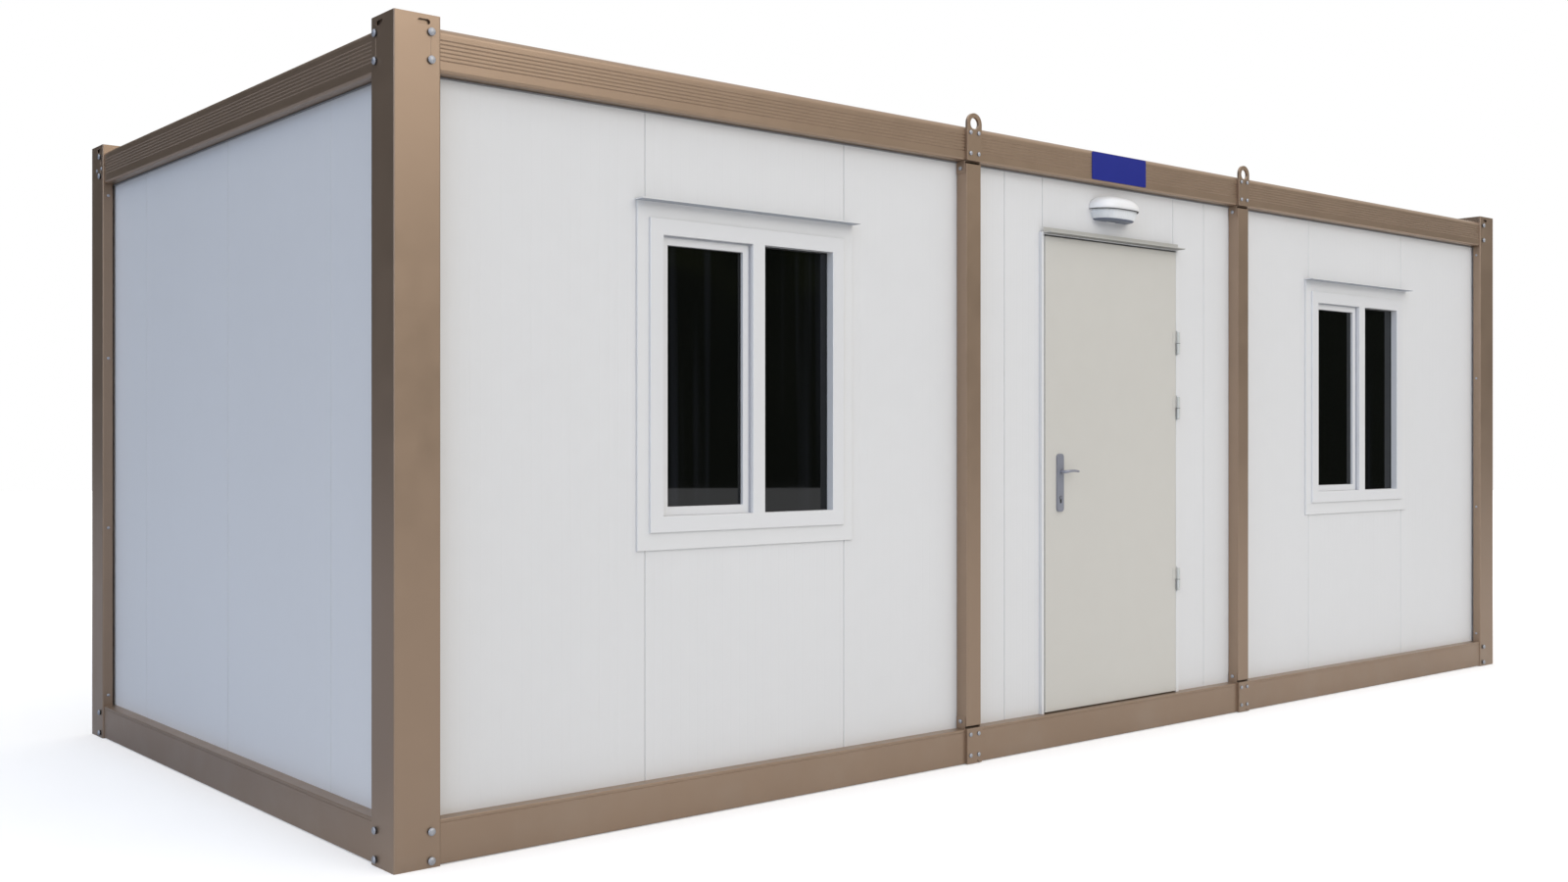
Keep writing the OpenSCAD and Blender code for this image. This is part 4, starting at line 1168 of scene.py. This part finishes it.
class CABIN_OT_lamp(bpy.types.Operator):
    """Oval lamp: its back plate, hood, ribbed glass, its underside in painted shade and a near-black cord of
    painted shadow under the hood's lip
    """

    bl_idname = "cabin.lamp"
    bl_label = "Lamp"

    def execute(self, context):
        low, high = box("lamp_housing")
        lip_z = low[2] + 0.050
        half, depth = (high[0] - low[0]) / 2, high[1] - low[1]

        def at(x, out, z):
            return on_side("front", x, PANEL_IN - out, lip_z + z)
        t = np.linspace(0, TURN, 64, endpoint=False)
        oval = np.stack((half * 0.97 * np.cos(t), 0.055 * np.sin(t)), -1)
        back = cushioned(oval, lambda x, y, h: at(x, h, y + 0.004),
                         ((0.0, 0.0), (0.0, 0.006), (0.003, 0.008)))
        hood = piece("lamp_hood", [surface(at(*hood_shell(half, depth, 0.061)))], "cabin", "lamp_shell",
                     "lamp_shell", ("lamp_housing",), 60.0)
        self.thicken(hood, 0.003)
        piece("lamp_back", [back], "cabin", "lamp_shell", "lamp_shell")
        bowl_half, bowl_depth = half - 0.014, depth - 0.010
        levels = ((1.0, 0.001), (1.0, -0.004), (0.985, -0.016), (0.955, -0.030), (0.92, -0.039),
                  (0.87, -0.0445), (0.80, -0.0470))
        lens = surface(at(*bowl(bowl_half, bowl_depth, levels, 52, 0.012)))
        glass = piece("lamp_lens", [lens], "cabin", "lamp_glass", "lamp_glass", ("lamp_diffuser",), 60.0)
        self.thicken(glass, 0.0025)
        # The lens's flat underside, dark blue-grey as painted shade.
        levels = ((0.90, -0.0420), (0.885, -0.0452), (0.84, -0.0482), (0.78, -0.0495), (0.0, -0.0495))
        piece("lamp_tray", [surface(at(*bowl(bowl_half, bowl_depth, levels)))], "cabin", "lamp_tray")
        # A near-black cord under the hood's lip: painted shadow of the lip.
        turn = np.linspace(0, math.pi, 64)
        inset, cord = 0.002, 0.0018
        line = np.stack(((half - inset) * np.cos(turn), (depth - inset) * lip_share(turn)), -1)
        ring = np.arange(8) * TURN / 8
        rim = at(line[:, 0, None] + 0 * ring, line[:, 1, None] - cord + cord * np.cos(ring),
                 -0.0012 + cord * np.sin(ring))
        piece("lamp_seal", [surface(rim, wrap_columns=True, caps=True)], "cabin", "seal_rubber")
        return {"FINISHED"}

    @staticmethod
    def thicken(made, depth):
        """Gives a shell its wall, inwards."""
        wall = made.modifiers.new("wall", "SOLIDIFY")
        wall.thickness = depth
        wall.offset = -1.0


class CABIN_OT_sign(bpy.types.Operator):
    """Blank sign plate with its rivets"""

    bl_idname = "cabin.sign"
    bl_label = "Sign plate"

    def execute(self, context):
        low, high = box("sign_plate")
        face = HALF_Y + low[1]

        def at(x, y, h):
            return on_side("front", x, RAIL_STEP - h, y)
        thick = RAIL_STEP - face
        corner, soft, inset = 0.006, 0.0007, 0.011
        outline = rounded(low[0], high[0], low[2], high[2], corner, 5)
        plate = cushioned(outline, at, ((0.0, 0.0), (0.0, thick - soft), (soft, thick)))
        piece("sign_blank", [plate], "cabin", "sign_paint", "sign_paint", ("sign_plate",), 40.0)
        u, z = np.meshgrid((low[0] + inset, high[0] - inset), (low[2] + inset, high[2] - inset))
        centres = on_side("front", u.ravel(), face, z.ravel())
        rivets = turned(dome(0.0035, 0.0, 0.0016), centres, (0, -1, 0), 14)
        piece("sign_rivets", [rivets], "cabin", "sign_paint", "sign_paint")
        return {"FINISHED"}


# ---------------------------------------------------------------- roof and floor


class CABIN_OT_roof_floor(bpy.types.Operator):
    """Roof sheet with its screws, purlins, ceiling, deck and joists"""

    bl_idname = "cabin.roof_floor"
    bl_label = "Roof and floor"

    def execute(self, context):
        low, high = box("roof_sheet")
        sheet_rib, row_count, from_edge = 0.223, 7, 0.08
        count = int((high[0] - low[0]) / sheet_rib)
        pitch = (high[0] - low[0]) / count
        crests = low[0] + pitch * (np.arange(count) + 0.5)
        rows = np.linspace(low[1] + from_edge, high[1] - from_edge, row_count)
        x, y = np.meshgrid(crests, rows)
        centres = np.stack((x.ravel(), y.ravel(), np.full(x.size, high[2])), -1)
        screws, washers = bolted(0.007, 0.0015, 0.004, 0.009, centres, (0, 0, 1), (10, 10))
        piece("roof_screws", [screws], "cabin", "bolt_zinc", "galvanised", sharp=50.0)
        piece("roof_washers", [washers], "cabin", "seal_rubber", sharp=50.0)
        for node, paint in (("roof_sheet", "roof_metal"), ("roof_purlins", "galvanised"),
                            ("floor_joists", "galvanised"), ("floor_deck", "deck_board"),
                            ("ceiling", "ceiling_board")):
            paint_node(node, paint)
        return {"FINISHED"}


# ---------------------------------------------------------------- stage


class CABIN_OT_finishes(bpy.types.Operator):
    """Paints, plastics, metals, glass and boards"""

    bl_idname = "cabin.finishes"
    bl_label = "Finishes"

    def execute(self, context):
        make_finishes(context.scene.cabin_colours)
        return {"FINISHED"}


class CABIN_OT_stage(bpy.types.Operator):
    """Pale floor, soft lights, surroundings and the camera"""

    bl_idname = "cabin.stage"
    bl_label = "Stage"

    def execute(self, context):
        scene = context.scene
        t = np.arange(96) * TURN / 96
        radii = np.array((0.0, 4.0, 10.0, 20.0, 38.0))[:, None]
        points, faces = surface(np.stack((radii * np.cos(t), radii * np.sin(t), 0 * radii * t), -1),
                                wrap_columns=True)
        mesh = bpy.data.meshes.new("stage_floor")
        mesh.from_pydata(points.tolist(), [], faces)
        merged(mesh, 1e-5, outwards, self.face_up)
        mesh.materials.append(look("stage_floor"))
        floor = bpy.data.objects.new("stage_floor", mesh)
        scene.collection.objects.link(floor)
        self.softbox("key", (1.0, -13.0, 8.4), (0.0, -1.5, 1.3), 8.0, 460.0, (1.0, 0.97, 0.93))
        self.surroundings(scene)
        lens = bpy.data.cameras.new("camera")
        lens.lens, lens.sensor_width, lens.sensor_fit = 36.0, 36.0, "HORIZONTAL"
        lens.clip_end = 200.0
        camera = bpy.data.objects.new("camera", lens)
        camera.location = (-5.646, -5.895, 1.314)
        camera.rotation_euler = (math.radians(90), 0.0, math.radians(-40))
        scene.collection.objects.link(camera)
        scene.camera = camera
        scene.view_settings.view_transform = "Standard"
        return {"FINISHED"}

    @staticmethod
    def face_up(work):
        """Turns a flat mesh's faces upwards."""
        for face in work.faces:
            if face.normal.z < 0:
                face.normal_flip()

    @staticmethod
    def softbox(name, place, aim, size, power, colour):
        """Square area light that faces a point."""
        light = bpy.data.lights.new(name, "AREA")
        light.shape, light.size, light.energy, light.color = "SQUARE", size, power, colour
        lamp = bpy.data.objects.new(name, light)
        lamp.location = place
        towards = np.array(aim) - np.array(place)
        flat = math.hypot(towards[0], towards[1])
        lamp.rotation_euler = (math.atan2(flat, -towards[2]), 0.0, math.atan2(-towards[0], towards[1]))
        bpy.context.scene.collection.objects.link(lamp)

    @staticmethod
    def surroundings(scene):
        """World that lights the cabin: warm before it, brighter and bluer to its left, with a dark uneven
        hedge low down, lit in places, for the glass to mirror. The hedge stands tall behind the cabin. The
        camera sees plain white."""
        world = bpy.data.worlds.new("studio")
        world.use_nodes = True
        tree = world.node_tree
        tree.nodes.clear()
        g = Shade(tree)
        where = g.add("ShaderNodeTexCoord", out="Generated")
        height = axis_of(g, where, 2)

        def towards(direction):
            length = math.sqrt(sum(c * c for c in direction))
            return g.add("ShaderNodeVectorMath", {"operation": "DOT_PRODUCT"},
                         {0: where, 1: tuple(c / length for c in direction)}, 1)
        left = ramp01(g, towards((-1.0, 0.35, 0.1)), 0.1, 0.75)
        sky = blend(g, left, (0.80, 0.775, 0.725), (1.46, 1.74, 2.24))
        sky = blend(g, ramp01(g, height, 0.35, 0.95), sky, (1.20, 1.18, 1.17))
        across, behind = towards((0.6, -0.8, 0.0)), towards((-0.35, 0.93, 0.0))
        top = 0.05 + ramp01(g, across, 0.6, 0.9) * 0.11 + ramp01(g, behind, 0.35, 0.75) * 0.55
        rough_top = top + (noise(g, where, 3.0, 3.0) - 0.5) * 0.08
        leaves = noise(g, where, 6.0, 3.0)
        lit = ramp01(g, leaves, 0.46, 0.66) * ramp01(g, height, -0.01, 0.03) * ramp01(g, across, 0.93, 0.985)
        hedge = blend(g, lit, (0.015, 0.017, 0.014), (0.22, 0.26, 0.04))
        near = blend(g, ramp01(g, height - rough_top, -0.01, 0.04), hedge, sky)
        below = blend(g, ramp01(g, height, -0.12, -0.02), (0.6, 0.6, 0.6), near)
        camera_ray = g.add("ShaderNodeLightPath", out="Is Camera Ray")
        shown = blend(g, camera_ray, below, (1.0, 1.0, 1.0))
        sky_light = g.add("ShaderNodeBackground", None, {"Color": shown, "Strength": 1.0})
        g.add("ShaderNodeOutputWorld", None, {"Surface": sky_light})
        scene.world = world


# ---------------------------------------------------------------- panel and start


OPERATORS = (CABIN_OT_finishes, CABIN_OT_stage, CABIN_OT_walls, CABIN_OT_steel_frame, CABIN_OT_bolts,
             CABIN_OT_windows, CABIN_OT_door, CABIN_OT_hinges, CABIN_OT_handle, CABIN_OT_lamp,
             CABIN_OT_sign, CABIN_OT_roof_floor)


class CABIN_PT_parts(bpy.types.Panel):
    """Parts of the cabin, one button each"""

    bl_idname = "CABIN_PT_parts"
    bl_label = "Site cabin"
    bl_space_type = "VIEW_3D"
    bl_region_type = "UI"
    bl_category = "Cabin"

    def draw(self, context):
        layout = self.layout
        for group in (context.scene.cabin_sizes, context.scene.cabin_colours):
            column = layout.column(align=True)
            for name in group.__annotations__:
                column.prop(group, name)
        for operator in OPERATORS:
            layout.operator(operator.bl_idname)


CLASSES = (CABIN_PG_sizes, CABIN_PG_colours, *OPERATORS, CABIN_PT_parts)


def register():
    """Registers the classes and the scene's properties."""
    for each in CLASSES:
        bpy.utils.register_class(each)
    bpy.types.Scene.cabin_sizes = bpy.props.PointerProperty(type=CABIN_PG_sizes)
    bpy.types.Scene.cabin_colours = bpy.props.PointerProperty(type=CABIN_PG_colours)


def unregister():
    """Takes them away again."""
    del bpy.types.Scene.cabin_colours
    del bpy.types.Scene.cabin_sizes
    for each in reversed(CLASSES):
        bpy.utils.unregister_class(each)


def main():
    """Builds every part in order."""
    register()
    for operator in OPERATORS:
        group, call = operator.bl_idname.split(".")
        getattr(getattr(bpy.ops, group), call)()


if __name__ == "__main__":
    main()
